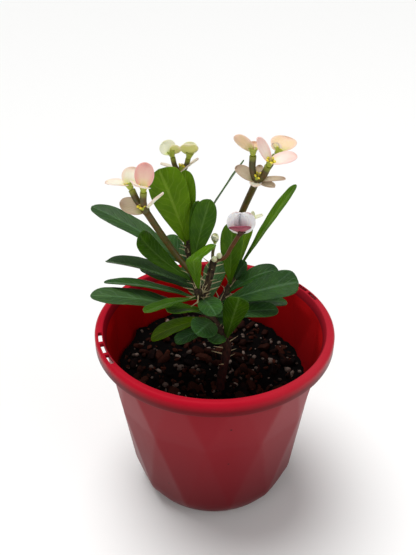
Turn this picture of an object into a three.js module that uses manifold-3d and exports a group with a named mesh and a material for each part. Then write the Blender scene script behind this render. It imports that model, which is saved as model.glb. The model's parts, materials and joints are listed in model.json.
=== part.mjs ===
// Crown of thorns (Euphorbia milii) in bloom, in a red moulded plastic pot.
// Millimetres, +Z up. -Y is the front. The origin is the centre of the pot's underside.
import * as THREE from 'three';
import { mergeVertices } from 'three/addons/utils/BufferGeometryUtils.js';
import Module from 'manifold-3d';

const wasm = await Module();
wasm.setup();

// ---------------------------------------------------------------- driving dimensions

const CLEAR = 0.3; // gap between neighbouring pieces
const SLIVER = 0.05; // edges shorter than this collapse

const POT = {
  height: 117,
  rimRadius: 70,
  rimDepth: 8.5, // the skirt of the rolled rim
  rimInner: 65, // inner edge of the rim's top
  wall: 1.5,
  neckZ: 112, // the wall meets the rim here
  coneRadius: 50.3, // the wall's cone, carried down to z = 0
  coneSlope: 0.13, // radius gained per mm of height
  heelIn: 14.7, // rounding at the foot: how far in
  heelUp: 25, // and how far up
  floor: 2,
  facets: 12,
  facetTurn: -3.4, // azimuth of a down-pointing facet at the front, degrees
  facetTop: 107,
  facetMiddle: 72,
  facetFoot: 15,
  facetHalf: 11, // half the width of a down-pointing facet, degrees
};

const DRAIN = { count: 6, radius: 3, at: 27 };

// Handling slots through the top of the rim: middle azimuth, in degrees from +X.
const RIM_SLOTS = [202.2, 34.6];
const SLOT = { radius: 66.9, width: 2.2, spans: [-9, 0, 9], half: 3.7 };

const MIX = { level: 80, tilt: 0.13, gap: 0.35, chips: 12, stones: 18, reach: 52, proud: 0.35, seed: 7 };

// The shoots, from the buried foot upwards: radius and centre line.
const SHOOTS = {
  trunk: {
    radius: 2.6,
    line: [
      [4, -14, 64], [4, -14, 82], [6, -14, 98], [7, -13, 110], [3, -13, 120], [-2, -12, 129],
      [-7, -10, 140],
    ],
  },
  leader: { radius: 2.6, line: [[-7, -10, 139], [-11, -4, 149], [-14, 4, 160], [-15, 7, 167]] },
  front: { radius: 2.2, line: [[-6, -10, 138], [-8, -15, 145], [-9, -19, 151]] },
  middle: { radius: 2.1, line: [[-6, -9, 139], [-4, -6, 148], [-1, -2, 160]] },
  back: { radius: 2.4, line: [[-4, -11, 132], [1, -2, 130], [8, 10, 134], [14, 20, 142]] },
};

const THORN = { length: 5, radius: 0.5, sides: 3, lean: 0.35, spiral: 137.5, room: 2.2 };

// How many thorns a shoot has, and the stretch of it, from 0 to 1, that they stand on.
const THORNS = {
  trunk: [7, 0.3, 0.8],
  leader: [16, 0.1, 1],
  front: [14, 0.25, 1],
  middle: [8, 0.3, 1],
  back: [10, 0.3, 1],
};

// Each leaf: its shoot, its place along it from 0 to 1, then the azimuth and rise of the straight
// line from stalk to tip, the length and width of the blade, how far it arches from end to end,
// its roll about that line and the fold of each half towards the midrib.
const LEAVES = {
  leader_leaf_1: ['leader', 0.8, 168, 71, 50.5, 22, 20, -50, 14],
  leader_leaf_2: ['leader', 1, 100, 76, 41, 10.5, 14, -3, 8],
  leader_leaf_3: ['leader', 0.5, 4, 77, 43.8, 14, 22, 60, 8],
  leader_leaf_4: ['leader', 0.5, 155, 20, 70, 15, 20, -5, 12],
  leader_leaf_5: ['leader', 0.3, -163, 50, 52, 12, -92, -62, 6],
  leader_leaf_6: ['leader', 0.22, 158, 3, 59, 16, 18, 12, 26],
  leader_leaf_7: ['leader', 0.95, 46, 41, 58, 12, 7, -52, 2],
  leader_leaf_8: ['leader', 0.55, 62, 78, 37, 8, 12, 34, 8],
  leader_leaf_9: ['leader', 0.5, 122, -3, 40, 17, 30, -25, 8],
  leader_leaf_10: ['leader', 0.12, 139, -1, 46, 16, 20, 0, 8],
  leader_leaf_11: ['leader', 0.02, 173, 7, 57, 14, 20, 18, 12],
  trunk_leaf_1: ['trunk', 0.93, 79, 12, 40, 14, 25, 0, 8],
  trunk_leaf_2: ['trunk', 0.86, -175, 14, 68.5, 19, 22, 4, 8],
  trunk_leaf_3: ['trunk', 0.9, -135, 26, 33, 12, 22, 0, 8],
  trunk_leaf_4: ['trunk', 0.78, -108, 24, 33, 15, 40, -25, 6],
  trunk_leaf_5: ['trunk', 0.84, 12, 0, 40, 13, 20, 10, 8],
  trunk_leaf_6: ['trunk', 0.55, -48, 74, 38, 14, 8, -48, 6],
  trunk_leaf_7: ['trunk', 0.62, -106, 26, 22, 11, 35, -15, 6],
  trunk_leaf_8: ['trunk', 0.84, 174, -27, 40, 14, 25, -10, 6],
  trunk_leaf_9: ['trunk', 0.74, -153, -8, 26, 11, 30, 0, 6],
  trunk_leaf_10: ['trunk', 0.88, 114, 10, 42, 14, 25, 0, 8],
  trunk_leaf_11: ['trunk', 0.7, 75, -4, 38, 14, 20, 0, 8],
  front_leaf_1: ['front', 0.95, 0, 97, 36, 14, 6, 50, 6],
  front_leaf_2: ['front', 0.5, -135, 14, 41, 10, 18, 10, 6],
  front_leaf_3: ['front', 0.3, -76, 21, 37, 12, 42, 15, 6],
  back_leaf_1: ['back', 0.38, -2, 21, 49, 19, 22, 22, 8],
  back_leaf_2: ['back', 0.58, 15, 21, 35, 13, 45, 10, 18],
  back_leaf_3: ['back', 0.8, -12, 62, 16, 9, 25, 45, 8],
  back_leaf_4: ['back', 0.2, 25, -9, 50, 14, 18, 0, 6],
  back_leaf_5: ['back', 1, 32, 50, 60, 10.5, 6, -16, 10],
  back_leaf_6: ['back', 0.95, 69, 50, 36, 11, 15, -25, 8],
  back_leaf_7: ['back', 0.7, 80, 85, 42, 13, 15, 8, 8],
};

// A leaf whose outer part is folded down: how far along it in mm, the slant of the fold across
// the blade and how far it turns.
const CREASES = { front_leaf_1: [21, 24, 80] };

// The form of a blade: where its rows lie from stalk to tip, where its columns lie from edge to
// edge, how its outline swells and closes, the half width of its stalk, and its wavy edge.
const LEAF = {
  rows: [0, 0.2, 0.42, 0.64, 0.83, 0.95],
  columns: [-1, -0.5, 0, 0.5, 1],
  swell: 1.25,
  close: 0.5,
  stalk: 1.1,
  wave: 0.7,
  waves: 2.5,
  thickness: 0.8,
};
const BRACT = {
  rows: [0, 0.2, 0.5, 0.82],
  columns: [-1, 0, 1],
  swell: 0.55,
  close: 0.5,
  stalk: 0.9,
  wave: 0.35,
  waves: 1,
  thickness: 0.7,
  fold: 4,
};

// Flower stalks: the radius and the lines. The first line is the main stalk, which starts on a
// shoot, and the others fork from it. A young stalk may carry round buds.
const STALKS = {
  left_flower_stalk: {
    radius: 1.75,
    lines: [
      [[-12, -3, 152], [-19.5, -4, 162.5], [-29, -9.5, 182], [-35.8, -15, 198]],
      [[-35.6, -15, 197.2], [-39.8, -14, 203], [-42.4, -13, 208.6]],
      [[-35.6, -15, 197.2], [-36.3, -17, 204], [-35.9, -18, 209.8]],
    ],
  },
  top_flower_stalk: {
    radius: 1.45,
    lines: [
      [[-15, 8, 165], [-22, 15, 174], [-23, 23, 188], [-19.6, 26, 200.5]],
      [[-19.6, 26, 199.5], [-22.6, 26, 204], [-24, 26, 209.6]],
      [[-19.6, 26, 199.5], [-16.9, 26, 204], [-15.4, 25, 209.4]],
    ],
  },
  right_flower_stalk: {
    radius: 1.8,
    lines: [
      [[12.5, 18, 141], [9, 20, 157], [12.8, 17, 175], [21.2, 7, 204.7]],
      [[21.2, 7, 203.7], [18.9, 7, 211], [18.8, 7, 219]],
      [[21.2, 7, 203.7], [24.5, 4, 209], [26.5, 2, 215.5]],
      [[21.2, 7, 203.7], [26.5, 10, 210], [31.1, 12, 217.3]],
      [[11, 18, 169], [16, 22, 171], [20.3, 25, 171.8]],
    ],
  },
  front_flower_stalk: {
    radius: 1.1,
    lines: [
      [[-1, -2, 159], [1, -4, 162.5], [4.5, -5.3, 164.3], [8.4, -6.8, 172], [12.3, -9, 180.9]],
    ],
    buds: [[-0.5, -4.4, 163.2], [2.2, -4.4, 165.3]],
  },
  young_flower_stalk: {
    radius: 0.9,
    lines: [
      [[-1, -2, 158], [-1.5, 3, 162], [-0.5, 6, 166.5]],
    ],
  },
};

// Blooms: the stalk line each tops, and its bracts as azimuth, rise, length, width, arch, roll.
const BLOOMS = {
  left_bloom_1: ['left_flower_stalk', 0, [183, 20, 13.6, 8.8, 10, -55], [-2, 46, 14, 7, 6, -19]],
  left_bloom_2: ['left_flower_stalk', 1, [178, 5, 12.5, 12.5, 10, 11], [70, 48, 9.8, 10.5, 20, 0]],
  left_bloom_3: ['left_flower_stalk', 2, [70, 70, 12.8, 10.2, 10, 10], [-110, 31, 10, 11.5, 10, -10]],
  top_bloom_1: ['top_flower_stalk', 0, [182, 25, 12.6, 9, 15, 16], [0, 40, 13, 7, 10, -14]],
  top_bloom_2: ['top_flower_stalk', 1, [158, 50, 7.8, 9.5, 20, -45], [-10, 38, 6, 7, 25, -60]],
  top_bloom_3: ['top_flower_stalk', 2, [-90, 70, 7.3, 10.3, 15, 0], [80, 55, 7.2, 9, 15, 0]],
  right_bloom_1: ['right_flower_stalk', 0, [163, 27, 13.5, 8.5, 10, -20], [70, 45, 9, 5, 10, 0],
    [-6, 7, 15.5, 4.5, 10, 10], [-100, -5, 6, 6.5, 10, 0], [-30, -5, 11, 5.5, 10, 10]],
  right_bloom_2: ['right_flower_stalk', 1, [163, 33, 12.5, 8.4, 10, 70], [75, 42, 5.5, 7, 10, 0]],
  right_bloom_3: ['right_flower_stalk', 2, [163, 61, 14.8, 6.5, 10, -34], [2, 13, 14.5, 10.5, 10, 12]],
  right_bloom_4: ['right_flower_stalk', 3, [58, 19, 12, 14.5, 15, 5], [110, 20, 6, 6, 10, 0]],
  right_bloom_5: ['right_flower_stalk', 4, [90, 80, 5, 2.5, 10, 0], [0, 25, 6.5, 3, 10, 10]],
  young_bloom: ['young_flower_stalk', 0, [60, 75, 5, 5, 15, 0], [-120, 70, 4.5, 4.5, 10, 0]],
  front_bloom: ['front_flower_stalk', 0, [174, 71, 12.4, 11, 8, -80], [7, 70, 12.2, 11, 8, 77],
    [-103, 48, 7.8, 12, 10, 10]],
};

// Hearts that are smaller than the others, as a share of them.
const SMALL_HEARTS = { right_bloom_5: 0.45, young_bloom: 0.6 };

const COLOURS = {
  pot: '#a01422',
  soil: '#1c1210',
  stem: '#5a3a22',
  stalk: '#5c5220',
  leaf: '#2f6a22',
  bract: '#f0dcc8',
};

// ---------------------------------------------------------------- small tools

const radians = THREE.MathUtils.degToRad;

// A closed three.js geometry as a solid.
function solid(geometry) {
  geometry.deleteAttribute('normal');
  geometry.deleteAttribute('uv');
  const welded = mergeVertices(geometry, 1e-4);
  const position = new Float32Array(welded.attributes.position.array);
  const triangles = new Uint32Array(welded.index.array);
  const mesh = new wasm.Mesh({ numProp: 3, vertProperties: position, triVerts: triangles });
  return new wasm.Manifold(mesh);
}

function unite(solids) {
  return solids.reduce((all, next) => all.add(next));
}

// The surface of a solid, without the slivers that cuts leave where faces nearly meet.
function surface(body) {
  const { vertProperties, triVerts } = body.asOriginal().simplify(SLIVER).getMesh();
  const geometry = new THREE.BufferGeometry();
  geometry.setAttribute('position', new THREE.BufferAttribute(vertProperties, 3));
  geometry.setIndex(new THREE.BufferAttribute(triVerts, 1));
  return geometry;
}

// A named mesh in its material, from a solid.
function piece(name, body, colour, roughness) {
  const geometry = surface(body);
  geometry.computeVertexNormals();
  const material = new THREE.MeshStandardMaterial({ color: colour, roughness, metalness: 0 });
  const mesh = new THREE.Mesh(geometry, material);
  mesh.name = name;
  return mesh;
}

// A seeded draw, so that every build lays the mix alike.
function seededDraw(seed) {
  let state = seed;
  return (low, high) => {
    state = (state * 1664525 + 1013904223) % 4294967296;
    return low + (high - low) * (state / 4294967296);
  };
}

// ---------------------------------------------------------------- skins of revolution

// A ring of points at one height; azimuth in degrees from the front, turning towards +X.
function ring(z, azimuths, radiusAt) {
  return azimuths.map((azimuth) => ({ azimuth, z, radius: radiusAt(azimuth) }));
}

function ringPoint({ azimuth, z, radius }) {
  const a = radians(azimuth);
  return [radius * Math.sin(a), -radius * Math.cos(a), z];
}

// Triangles between two rings of any number of points, taken in order of azimuth.
function stitch(below, above) {
  const triangles = [];
  const at = (points, k) => points[k % points.length];
  const angle = (points, k) => at(points, k).azimuth + 360 * Math.floor(k / points.length);
  let i = 0;
  let j = 0;
  while (i < below.length || j < above.length) {
    const stepBelow = j >= above.length
      || (i < below.length && angle(below, i + 1) <= angle(above, j + 1));
    if (stepBelow) {
      triangles.push([at(below, i), at(below, i + 1), at(above, j)]);
      i += 1;
    } else {
      triangles.push([at(below, i), at(above, j + 1), at(above, j)]);
      j += 1;
    }
  }
  return triangles;
}

// A closed skin through a chain of rings, shut at both ends by a fan on the axis.
function skin(rings) {
  const triangles = [];
  const first = rings[0];
  const last = rings[rings.length - 1];
  const foot = { azimuth: 0, radius: 0, z: first[0].z };
  const head = { azimuth: 0, radius: 0, z: last[0].z };
  first.forEach((point, k) => triangles.push([foot, first[(k + 1) % first.length], point]));
  for (let k = 1; k < rings.length; k += 1) {
    triangles.push(...stitch(rings[k - 1], rings[k]));
  }
  last.forEach((point, k) => triangles.push([point, last[(k + 1) % last.length], head]));
  const geometry = new THREE.BufferGeometry();
  const positions = new Float32Array(triangles.flat().flatMap(ringPoint));
  geometry.setAttribute('position', new THREE.BufferAttribute(positions, 3));
  const count = positions.length / 3;
  geometry.setIndex([...Array(count).keys()]);
  return geometry;
}

// ---------------------------------------------------------------- pot

const evenly = (count) => Array.from({ length: count }, (_, k) => POT.facetTurn + (360 * k) / count);
const everyFacet = (...offsets) => {
  return evenly(POT.facets).flatMap((turn) => offsets.map((offset) => turn + offset));
};

const coneAt = (z) => POT.coneRadius + POT.coneSlope * z;

// The wall's radius low down, where it rounds into the underside.
function heelAt(z) {
  const up = 1 - Math.min(z, POT.heelUp) / POT.heelUp;
  return coneAt(z) - POT.heelIn * (1 - Math.sqrt(1 - up * up));
}

// The rings of the faceted wall, from the feet of the facets to their tops, moved in by `inset`.
function facetRings(inset) {
  const { facetFoot, facetMiddle, facetTop, facetHalf } = POT;
  return [
    ring(facetFoot, everyFacet(180 / POT.facets), () => heelAt(facetFoot) - inset),
    ring(facetMiddle, everyFacet(0), () => coneAt(facetMiddle) - inset),
    ring(facetTop, everyFacet(-facetHalf, facetHalf), () => coneAt(facetTop) - inset),
  ];
}

function heelRings(inset, floor) {
  return [0, 1.5, 6].map((z) => ring(Math.max(z, floor), evenly(36), () => heelAt(z) - inset));
}

function rimRings() {
  const { height, rimRadius, rimDepth, rimInner, wall, neckZ } = POT;
  const neck = coneAt(neckZ);
  const foot = height - rimDepth;
  const profile = [
    [neck, neckZ],
    [rimInner + 0.6, height - 2.4],
    [rimRadius - wall - 0.6, height - 2.4],
    [rimRadius - wall, height - 3.2],
    [rimRadius - wall, foot],
    [rimRadius, foot],
    [rimRadius, height - 2.4],
    [rimRadius - 0.7, height - 0.8],
    [rimRadius - 2.2, height],
    [rimInner + 1, height],
    [rimInner, height - 0.9],
    [neck - wall, neckZ],
  ];
  return profile.map(([radius, z]) => ring(z, evenly(40), () => radius));
}

function slotCutter(middle) {
  const { radius, width, spans, half } = SLOT;
  const cutters = spans.map((span) => {
    const start = radians(middle + span - half);
    const end = radians(middle + span + half);
    const shape = new THREE.Shape();
    shape.absarc(0, 0, radius + width / 2, start, end, false);
    shape.absarc(0, 0, radius - width / 2, end, start, true);
    const geometry = new THREE.ExtrudeGeometry(shape, { depth: 6, bevelEnabled: false, curveSegments: 3 });
    return solid(geometry.translate(0, 0, POT.height - 5));
  });
  return unite(cutters);
}

function drainHole(index) {
  const { count, radius, at } = DRAIN;
  const angle = (2 * Math.PI * (index + 0.5)) / count;
  const geometry = new THREE.CylinderGeometry(radius, radius, 12, 8).rotateX(Math.PI / 2);
  return solid(geometry.translate(at * Math.cos(angle), at * Math.sin(angle), 0));
}

function makePot() {
  const { wall, floor } = POT;
  const outside = [...heelRings(0, 0), ...facetRings(0)];
  const inside = [...heelRings(wall, floor), ...facetRings(wall)].reverse();
  const shell = solid(skin([...outside, ...rimRings(), ...inside]));
  const holes = Array.from({ length: DRAIN.count }, (_, k) => drainHole(k));
  return shell.subtract(unite([...RIM_SLOTS.map(slotCutter), ...holes]));
}

// ---------------------------------------------------------------- shoots and thorns

const curveOf = (line) => new THREE.CatmullRomCurve3(line.map((p) => new THREE.Vector3(...p)));

// A round tube along a curve, closed at both ends.
function tube(curve, radius, sides, pitch) {
  const corners = Array.from({ length: sides }, (_, k) => {
    const angle = (2 * Math.PI * k) / sides;
    return new THREE.Vector2(radius * Math.cos(angle), radius * Math.sin(angle));
  });
  const steps = Math.max(2, Math.round(curve.getLength() / pitch));
  const options = { steps, extrudePath: curve, bevelEnabled: false };
  return solid(new THREE.ExtrudeGeometry(new THREE.Shape(corners), options));
}

function ball(radius, [x, y, z]) {
  return solid(new THREE.IcosahedronGeometry(radius, 0).translate(x, y, z));
}

// All the shoots in one, made thicker by `extra`.
function makeShoots(extra) {
  const round = 1.15; // the knobs at both ends are a little wider than the shoot
  const parts = Object.values(SHOOTS).flatMap(({ radius, line }) => {
    const knobs = [line[0], line[line.length - 1]].map((end) => ball(radius * round + extra, end));
    return [tube(curveOf(line), radius + extra, 8, 6), ...knobs];
  });
  return unite(parts);
}

function thorn(root, outward, scale) {
  const { length, radius, sides } = THORN;
  const geometry = new THREE.ConeGeometry(radius * scale, length, sides);
  geometry.translate(0, length / 2, 0);
  const turn = new THREE.Quaternion().setFromUnitVectors(new THREE.Vector3(0, 1, 0), outward);
  return solid(geometry.applyQuaternion(turn).translate(root.x, root.y, root.z));
}

// Thorns stand round each shoot on a spiral, tilted a little towards its tip.
function thornPlaces() {
  return Object.entries(THORNS).flatMap(([shoot, [count, from, to]]) => {
    const { radius, line } = SHOOTS[shoot];
    const curve = curveOf(line);
    return Array.from({ length: count }, (_, k) => {
      const along = from + ((to - from) * k) / (count - 1);
      const axis = curve.getTangent(along);
      const side = new THREE.Vector3(0, 0, 1).cross(axis).normalize();
      side.applyAxisAngle(axis, radians(THORN.spiral * k));
      const outward = side.clone().addScaledVector(axis, THORN.lean).normalize();
      const root = curve.getPoint(along).addScaledVector(side, radius * 0.6);
      return { root, outward };
    });
  });
}

// ---------------------------------------------------------------- blades

// Half the width of a blade at `s`, from 0 at its stalk to 1 at its tip.
function halfWidth({ swell, close, stalk, width }, s) {
  const widest = swell / (swell + close);
  const shape = (s / widest) ** swell * ((1 - s) / (1 - widest)) ** close;
  return Math.max(stalk, (width / 2) * shape);
}

// A point of a blade that runs along +X from the origin and arches over its straight line.
// `side` goes from -1 to 1 across the blade, and `drop` is the depth below its upper face.
function bladePoint(form, s, side, half, drop) {
  const bend = radians(form.arch);
  const crease = radians(form.fold);
  const lean = bend / 2 - bend * s;
  const bulge = form.length / bend;
  const wave = form.wave * side * side * Math.sin(2 * Math.PI * form.waves * s + 1.5 * side);
  const lift = Math.abs(half * side) * Math.sin(crease) + wave * Math.min(1, s * 4) - drop;
  return [
    bulge * (Math.sin(bend / 2) - Math.sin(lean)) - lift * Math.sin(lean),
    half * side * Math.cos(crease),
    bulge * (Math.cos(lean) - Math.cos(bend / 2)) + lift * Math.cos(lean),
  ];
}

// The points of one face of a blade, row by row, with the tip last.
function bladeFace(form, drop) {
  const points = form.rows.flatMap((s) => {
    const half = halfWidth(form, s);
    return form.columns.map((side) => bladePoint(form, s, side, half, drop));
  });
  return [...points, bladePoint(form, 1, 0, 0, drop)];
}

// Folds the part of a blade beyond `at` down, about a line that slants across it.
function crease(points, [at, slant, turn]) {
  const middle = new THREE.Vector3(at, 0, 0);
  const outward = new THREE.Vector3(Math.cos(radians(slant)), Math.sin(radians(slant)), 0);
  const line = new THREE.Vector3(-outward.y, outward.x, 0);
  return points.map((point) => {
    const reach = new THREE.Vector3(...point).sub(middle);
    return reach.dot(outward) > 0
      ? reach.applyAxisAngle(line, radians(turn)).add(middle).toArray()
      : point;
  });
}

// Triangles over one face of a blade, by the numbers of its points.
function faceTriangles(rows, columns) {
  const triangles = [];
  for (let r = 0; r < rows - 1; r += 1) {
    for (let c = 0; c < columns - 1; c += 1) {
      const a = r * columns + c;
      const b = a + columns;
      triangles.push([a, b, b + 1], [a, b + 1, a + 1]);
    }
  }
  const lastRow = (rows - 1) * columns;
  for (let c = 0; c < columns - 1; c += 1) {
    triangles.push([lastRow + c, rows * columns, lastRow + c + 1]);
  }
  return triangles;
}

// The outline of one face of a blade: up the left edge, over the tip and down the right edge.
function faceOutline(rows, columns) {
  const left = Array.from({ length: rows }, (_, r) => r * columns);
  const right = left.map((start) => start + columns - 1).reverse();
  const foot = Array.from({ length: columns - 2 }, (_, c) => columns - 2 - c);
  return [...left, rows * columns, ...right, ...foot];
}

// A closed blade. Both faces are split into the same triangles.
function blade(form) {
  const rows = form.rows.length;
  const columns = form.columns.length;
  const layer = rows * columns + 1;
  const upper = faceTriangles(rows, columns);
  const lower = upper.map(([a, b, c]) => [a + layer, c + layer, b + layer]);
  const outline = faceOutline(rows, columns);
  const edge = outline.flatMap((a, k) => {
    const b = outline[(k + 1) % outline.length];
    return [[a, a + layer, b], [b, a + layer, b + layer]];
  });
  const flat = [...bladeFace(form, 0), ...bladeFace(form, form.thickness)];
  const points = form.crease ? crease(flat, form.crease) : flat;
  const geometry = new THREE.BufferGeometry();
  geometry.setAttribute('position', new THREE.BufferAttribute(new Float32Array(points.flat()), 3));
  geometry.setIndex([...upper, ...lower, ...edge].flat());
  return geometry;
}

// Turns a blade to its roll, rise and azimuth, and moves its foot to `at`.
function place(geometry, at, azimuth, rise, roll) {
  geometry.rotateX(radians(roll)).rotateY(-radians(rise)).rotateZ(radians(azimuth));
  return solid(geometry.translate(at.x, at.y, at.z));
}

function makeLeaf(name, [shoot, along, azimuth, rise, length, width, arch, roll, fold]) {
  const at = curveOf(SHOOTS[shoot].line).getPoint(along);
  const form = { ...LEAF, length, width, arch, fold, crease: CREASES[name] };
  return place(blade(form), at, azimuth, rise, roll);
}

// ---------------------------------------------------------------- flower stalks and blooms

const FORK_SCALE = 0.95;
const KNUCKLE_SCALE = 1.4;
const BUD_RADIUS = 1.7;
const CUP = { bottom: 1.3, top: 2.2, height: 3.8, sides: 7 };
const COLLAR = { wall: 1.4, height: 2.8 };

// A flower stalk with its forks, made thicker by `extra`.
function makeStalk({ radius, lines, buds = [] }, extra) {
  const tubes = lines.map((line, k) => {
    const thickness = k === 0 ? radius : radius * FORK_SCALE;
    return tube(curveOf(line), thickness + extra, 6, 6);
  });
  const fork = lines[0][lines[0].length - 1];
  const knuckle = lines.length > 1 ? [ball(radius * KNUCKLE_SCALE + extra, fork)] : [];
  return unite([...tubes, ...knuckle, ...buds.map((bud) => ball(BUD_RADIUS, bud))]);
}

// A round piece that stands on `foot` along the direction `up`.
function stand(top, bottom, height, foot, up) {
  const turn = new THREE.Quaternion().setFromUnitVectors(new THREE.Vector3(0, 1, 0), up);
  const geometry = new THREE.CylinderGeometry(top, bottom, height, CUP.sides);
  geometry.translate(0, height / 2, 0).applyQuaternion(turn);
  return solid(geometry.translate(foot.x, foot.y, foot.z));
}

function bract(at, [azimuth, rise, length, width, arch, roll]) {
  return place(blade({ ...BRACT, length, width, arch }), at, azimuth, rise, roll);
}

// The largest of the bodies that a cut leaves; the loose scraps are dropped.
function largest(body) {
  return body.decompose().reduce((best, next) => (next.volume() > best.volume() ? next : best));
}

// A bloom at a stalk's end is a cup with its bracts. One at a fork is a collar with bracts,
// because the forks grow up through it.
function makeBloom(name, [stalk, line, ...bracts]) {
  const { radius, lines } = STALKS[stalk];
  const curve = curveOf(lines[line]);
  const top = curve.getPoint(1);
  const up = curve.getTangent(1);
  if (line === 0 && lines.length > 1) {
    const foot = top.clone().addScaledVector(up, -COLLAR.height / 2);
    const wide = radius + COLLAR.wall;
    const collar = stand(wide, wide, COLLAR.height, foot, up);
    const whole = unite([collar, ...bracts.map((row) => bract(top, row))]);
    return largest(whole.subtract(makeStalk(STALKS[stalk], CLEAR)));
  }
  const foot = top.clone().addScaledVector(up, CLEAR);
  const size = SMALL_HEARTS[name] ?? 1;
  const heart = foot.clone().addScaledVector(up, CUP.height * size * 0.5);
  const cup = stand(CUP.top * size, CUP.bottom * size, CUP.height * size, foot, up);
  return unite([cup, ...bracts.map((row) => bract(heart, row))]);
}

// ---------------------------------------------------------------- potting mix

// The inside of the pot as a solid, a little smaller all round, up to the top of the facets.
function potInside() {
  const inset = POT.wall + MIX.gap;
  return solid(skin([...heelRings(inset, POT.floor + MIX.gap), ...facetRings(inset)]));
}

// The height of the mix: it rises towards the back left, and is lumpy.
function soilHeight(x, y) {
  const slope = MIX.tilt * ((y - x) / Math.SQRT2);
  const lumps = 0.9 * Math.sin(x / 4.3 + 1) * Math.cos(y / 5.1) + 0.6 * Math.sin((x + 2 * y) / 5.7);
  return MIX.level + slope + lumps;
}

// The body of the mix, wider than the pot, which trims it.
function mixGround() {
  const radii = [10, 20, 30, 40, 50, 66];
  const azimuths = Array.from({ length: 24 }, (_, k) => (360 * k) / 24);
  const level = radii.map((radius) => azimuths.map((azimuth) => {
    const [x, y] = ringPoint({ azimuth, radius, z: 0 });
    return { azimuth, radius, z: soilHeight(x, y) };
  }));
  const floor = ring(1, azimuths, () => 66);
  return solid(skin([floor, ...level.reverse()]));
}

// A place on the mix, drawn at random.
function mixSpot(draw) {
  const radius = MIX.reach * Math.sqrt(draw(0.02, 1));
  const [x, y] = ringPoint({ azimuth: draw(0, 360), radius, z: 0 });
  return [x, y, soilHeight(x, y) + MIX.proud];
}

// A flat chip of bark that lies a little askew.
function barkChip(draw) {
  const chip = new THREE.BoxGeometry(draw(7, 15), draw(5, 9), draw(3, 4.5));
  chip.rotateX(draw(-0.35, 0.35)).rotateY(draw(-0.35, 0.35)).rotateZ(draw(0, Math.PI));
  return solid(chip.translate(...mixSpot(draw)));
}

function makeMix() {
  const draw = seededDraw(MIX.seed);
  const chips = Array.from({ length: MIX.chips }, () => barkChip(draw));
  const stones = Array.from({ length: MIX.stones }, () => ball(draw(1.8, 3.2), mixSpot(draw)));
  return unite([mixGround(), ...chips, ...stones]).intersect(potInside());
}

// ---------------------------------------------------------------- assembly

const group = new THREE.Group();

const shootRoom = makeShoots(CLEAR);
const leaves = Object.entries(LEAVES).map(([name, row]) => [name, makeLeaf(name, row).subtract(shootRoom)]);
const stalks = Object.entries(STALKS).map(([name, row]) => {
  return [name, makeStalk(row, 0).subtract(shootRoom)];
});
const blooms = Object.entries(BLOOMS).map(([name, row]) => [name, makeBloom(name, row)]);

// A thorn stands only where it has room beside the leaves, stalks and blooms.
const grown = [...leaves, ...stalks, ...blooms].map(([, body]) => body);
const thorns = thornPlaces().filter(({ root, outward }) => {
  const room = thorn(root, outward, THORN.room);
  return grown.every((body) => body.intersect(room).isEmpty());
});
const thornBodies = thorns.map(({ root, outward }) => thorn(root, outward, 1));
const shoots = unite([makeShoots(0), ...thornBodies]);

group.add(piece('pot', makePot(), COLOURS.pot, 0.35));
group.add(piece('potting_mix', makeMix().subtract(shootRoom), COLOURS.soil, 0.95));
group.add(piece('shoots', shoots, COLOURS.stem, 0.8));
leaves.forEach(([name, body]) => group.add(piece(name, body, COLOURS.leaf, 0.5)));
stalks.forEach(([name, body]) => group.add(piece(name, body, COLOURS.stalk, 0.6)));
blooms.forEach(([name, body]) => group.add(piece(name, body, COLOURS.bract, 0.6)));

export default group;
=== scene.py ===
# %% [markdown]
# # A potted crown of thorns, dressed
#
# The plant is a crown of thorns (Euphorbia milii): a thorny succulent shrub with spoon-shaped
# leaves, and flowers that are tiny cups between two showy bracts. It stands in potting mix in a
# moulded red plastic pot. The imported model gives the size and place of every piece, and this
# lesson makes the looks: it models each piece finely where its plain solid is, hides the solid,
# and gives each surface its material. Everything is in metres, with +Z up and -Y at the front.

# %% Load the frame
import json
import math
import random

import bmesh
import bpy
from mathutils import Matrix, Vector

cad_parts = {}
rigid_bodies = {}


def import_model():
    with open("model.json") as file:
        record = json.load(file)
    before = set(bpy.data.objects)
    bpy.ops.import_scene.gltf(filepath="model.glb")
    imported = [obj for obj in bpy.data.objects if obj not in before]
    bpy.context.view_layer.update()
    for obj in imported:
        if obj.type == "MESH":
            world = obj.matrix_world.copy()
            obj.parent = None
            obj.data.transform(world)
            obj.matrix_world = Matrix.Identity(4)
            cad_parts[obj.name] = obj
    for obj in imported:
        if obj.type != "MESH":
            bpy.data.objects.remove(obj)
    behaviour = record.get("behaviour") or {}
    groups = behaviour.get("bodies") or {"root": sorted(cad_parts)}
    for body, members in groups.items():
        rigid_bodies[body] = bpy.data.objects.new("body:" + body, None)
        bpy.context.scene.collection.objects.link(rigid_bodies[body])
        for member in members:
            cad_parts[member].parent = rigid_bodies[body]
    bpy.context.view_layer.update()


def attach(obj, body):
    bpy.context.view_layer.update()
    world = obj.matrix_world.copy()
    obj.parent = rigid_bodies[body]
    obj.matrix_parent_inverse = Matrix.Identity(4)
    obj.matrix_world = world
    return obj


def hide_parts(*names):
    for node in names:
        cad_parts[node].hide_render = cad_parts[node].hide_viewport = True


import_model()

MM = 0.001


# %% [markdown]
# ## Tools for modelling
#
# Every piece is modelled as by hand: a primitive is opened in edit mode, some of its points are
# picked by their place, and an operator moves, turns or stretches them. These few functions
# name those steps. With no window, the rotate operator turns the other way, so `turn` gives it
# the negative angle and a centre of its own.

# %% Select, turn, shift and stretch
def deselect():
    """Leaves edit mode and deselects everything."""
    if bpy.context.object and bpy.context.object.mode != "OBJECT":
        bpy.ops.object.mode_set(mode="OBJECT")
    bpy.ops.object.select_all(action="DESELECT")


def take(piece):
    """Makes one piece the only one selected, and the active one."""
    deselect()
    piece.select_set(True)
    bpy.context.view_layer.objects.active = piece
    return piece


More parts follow.
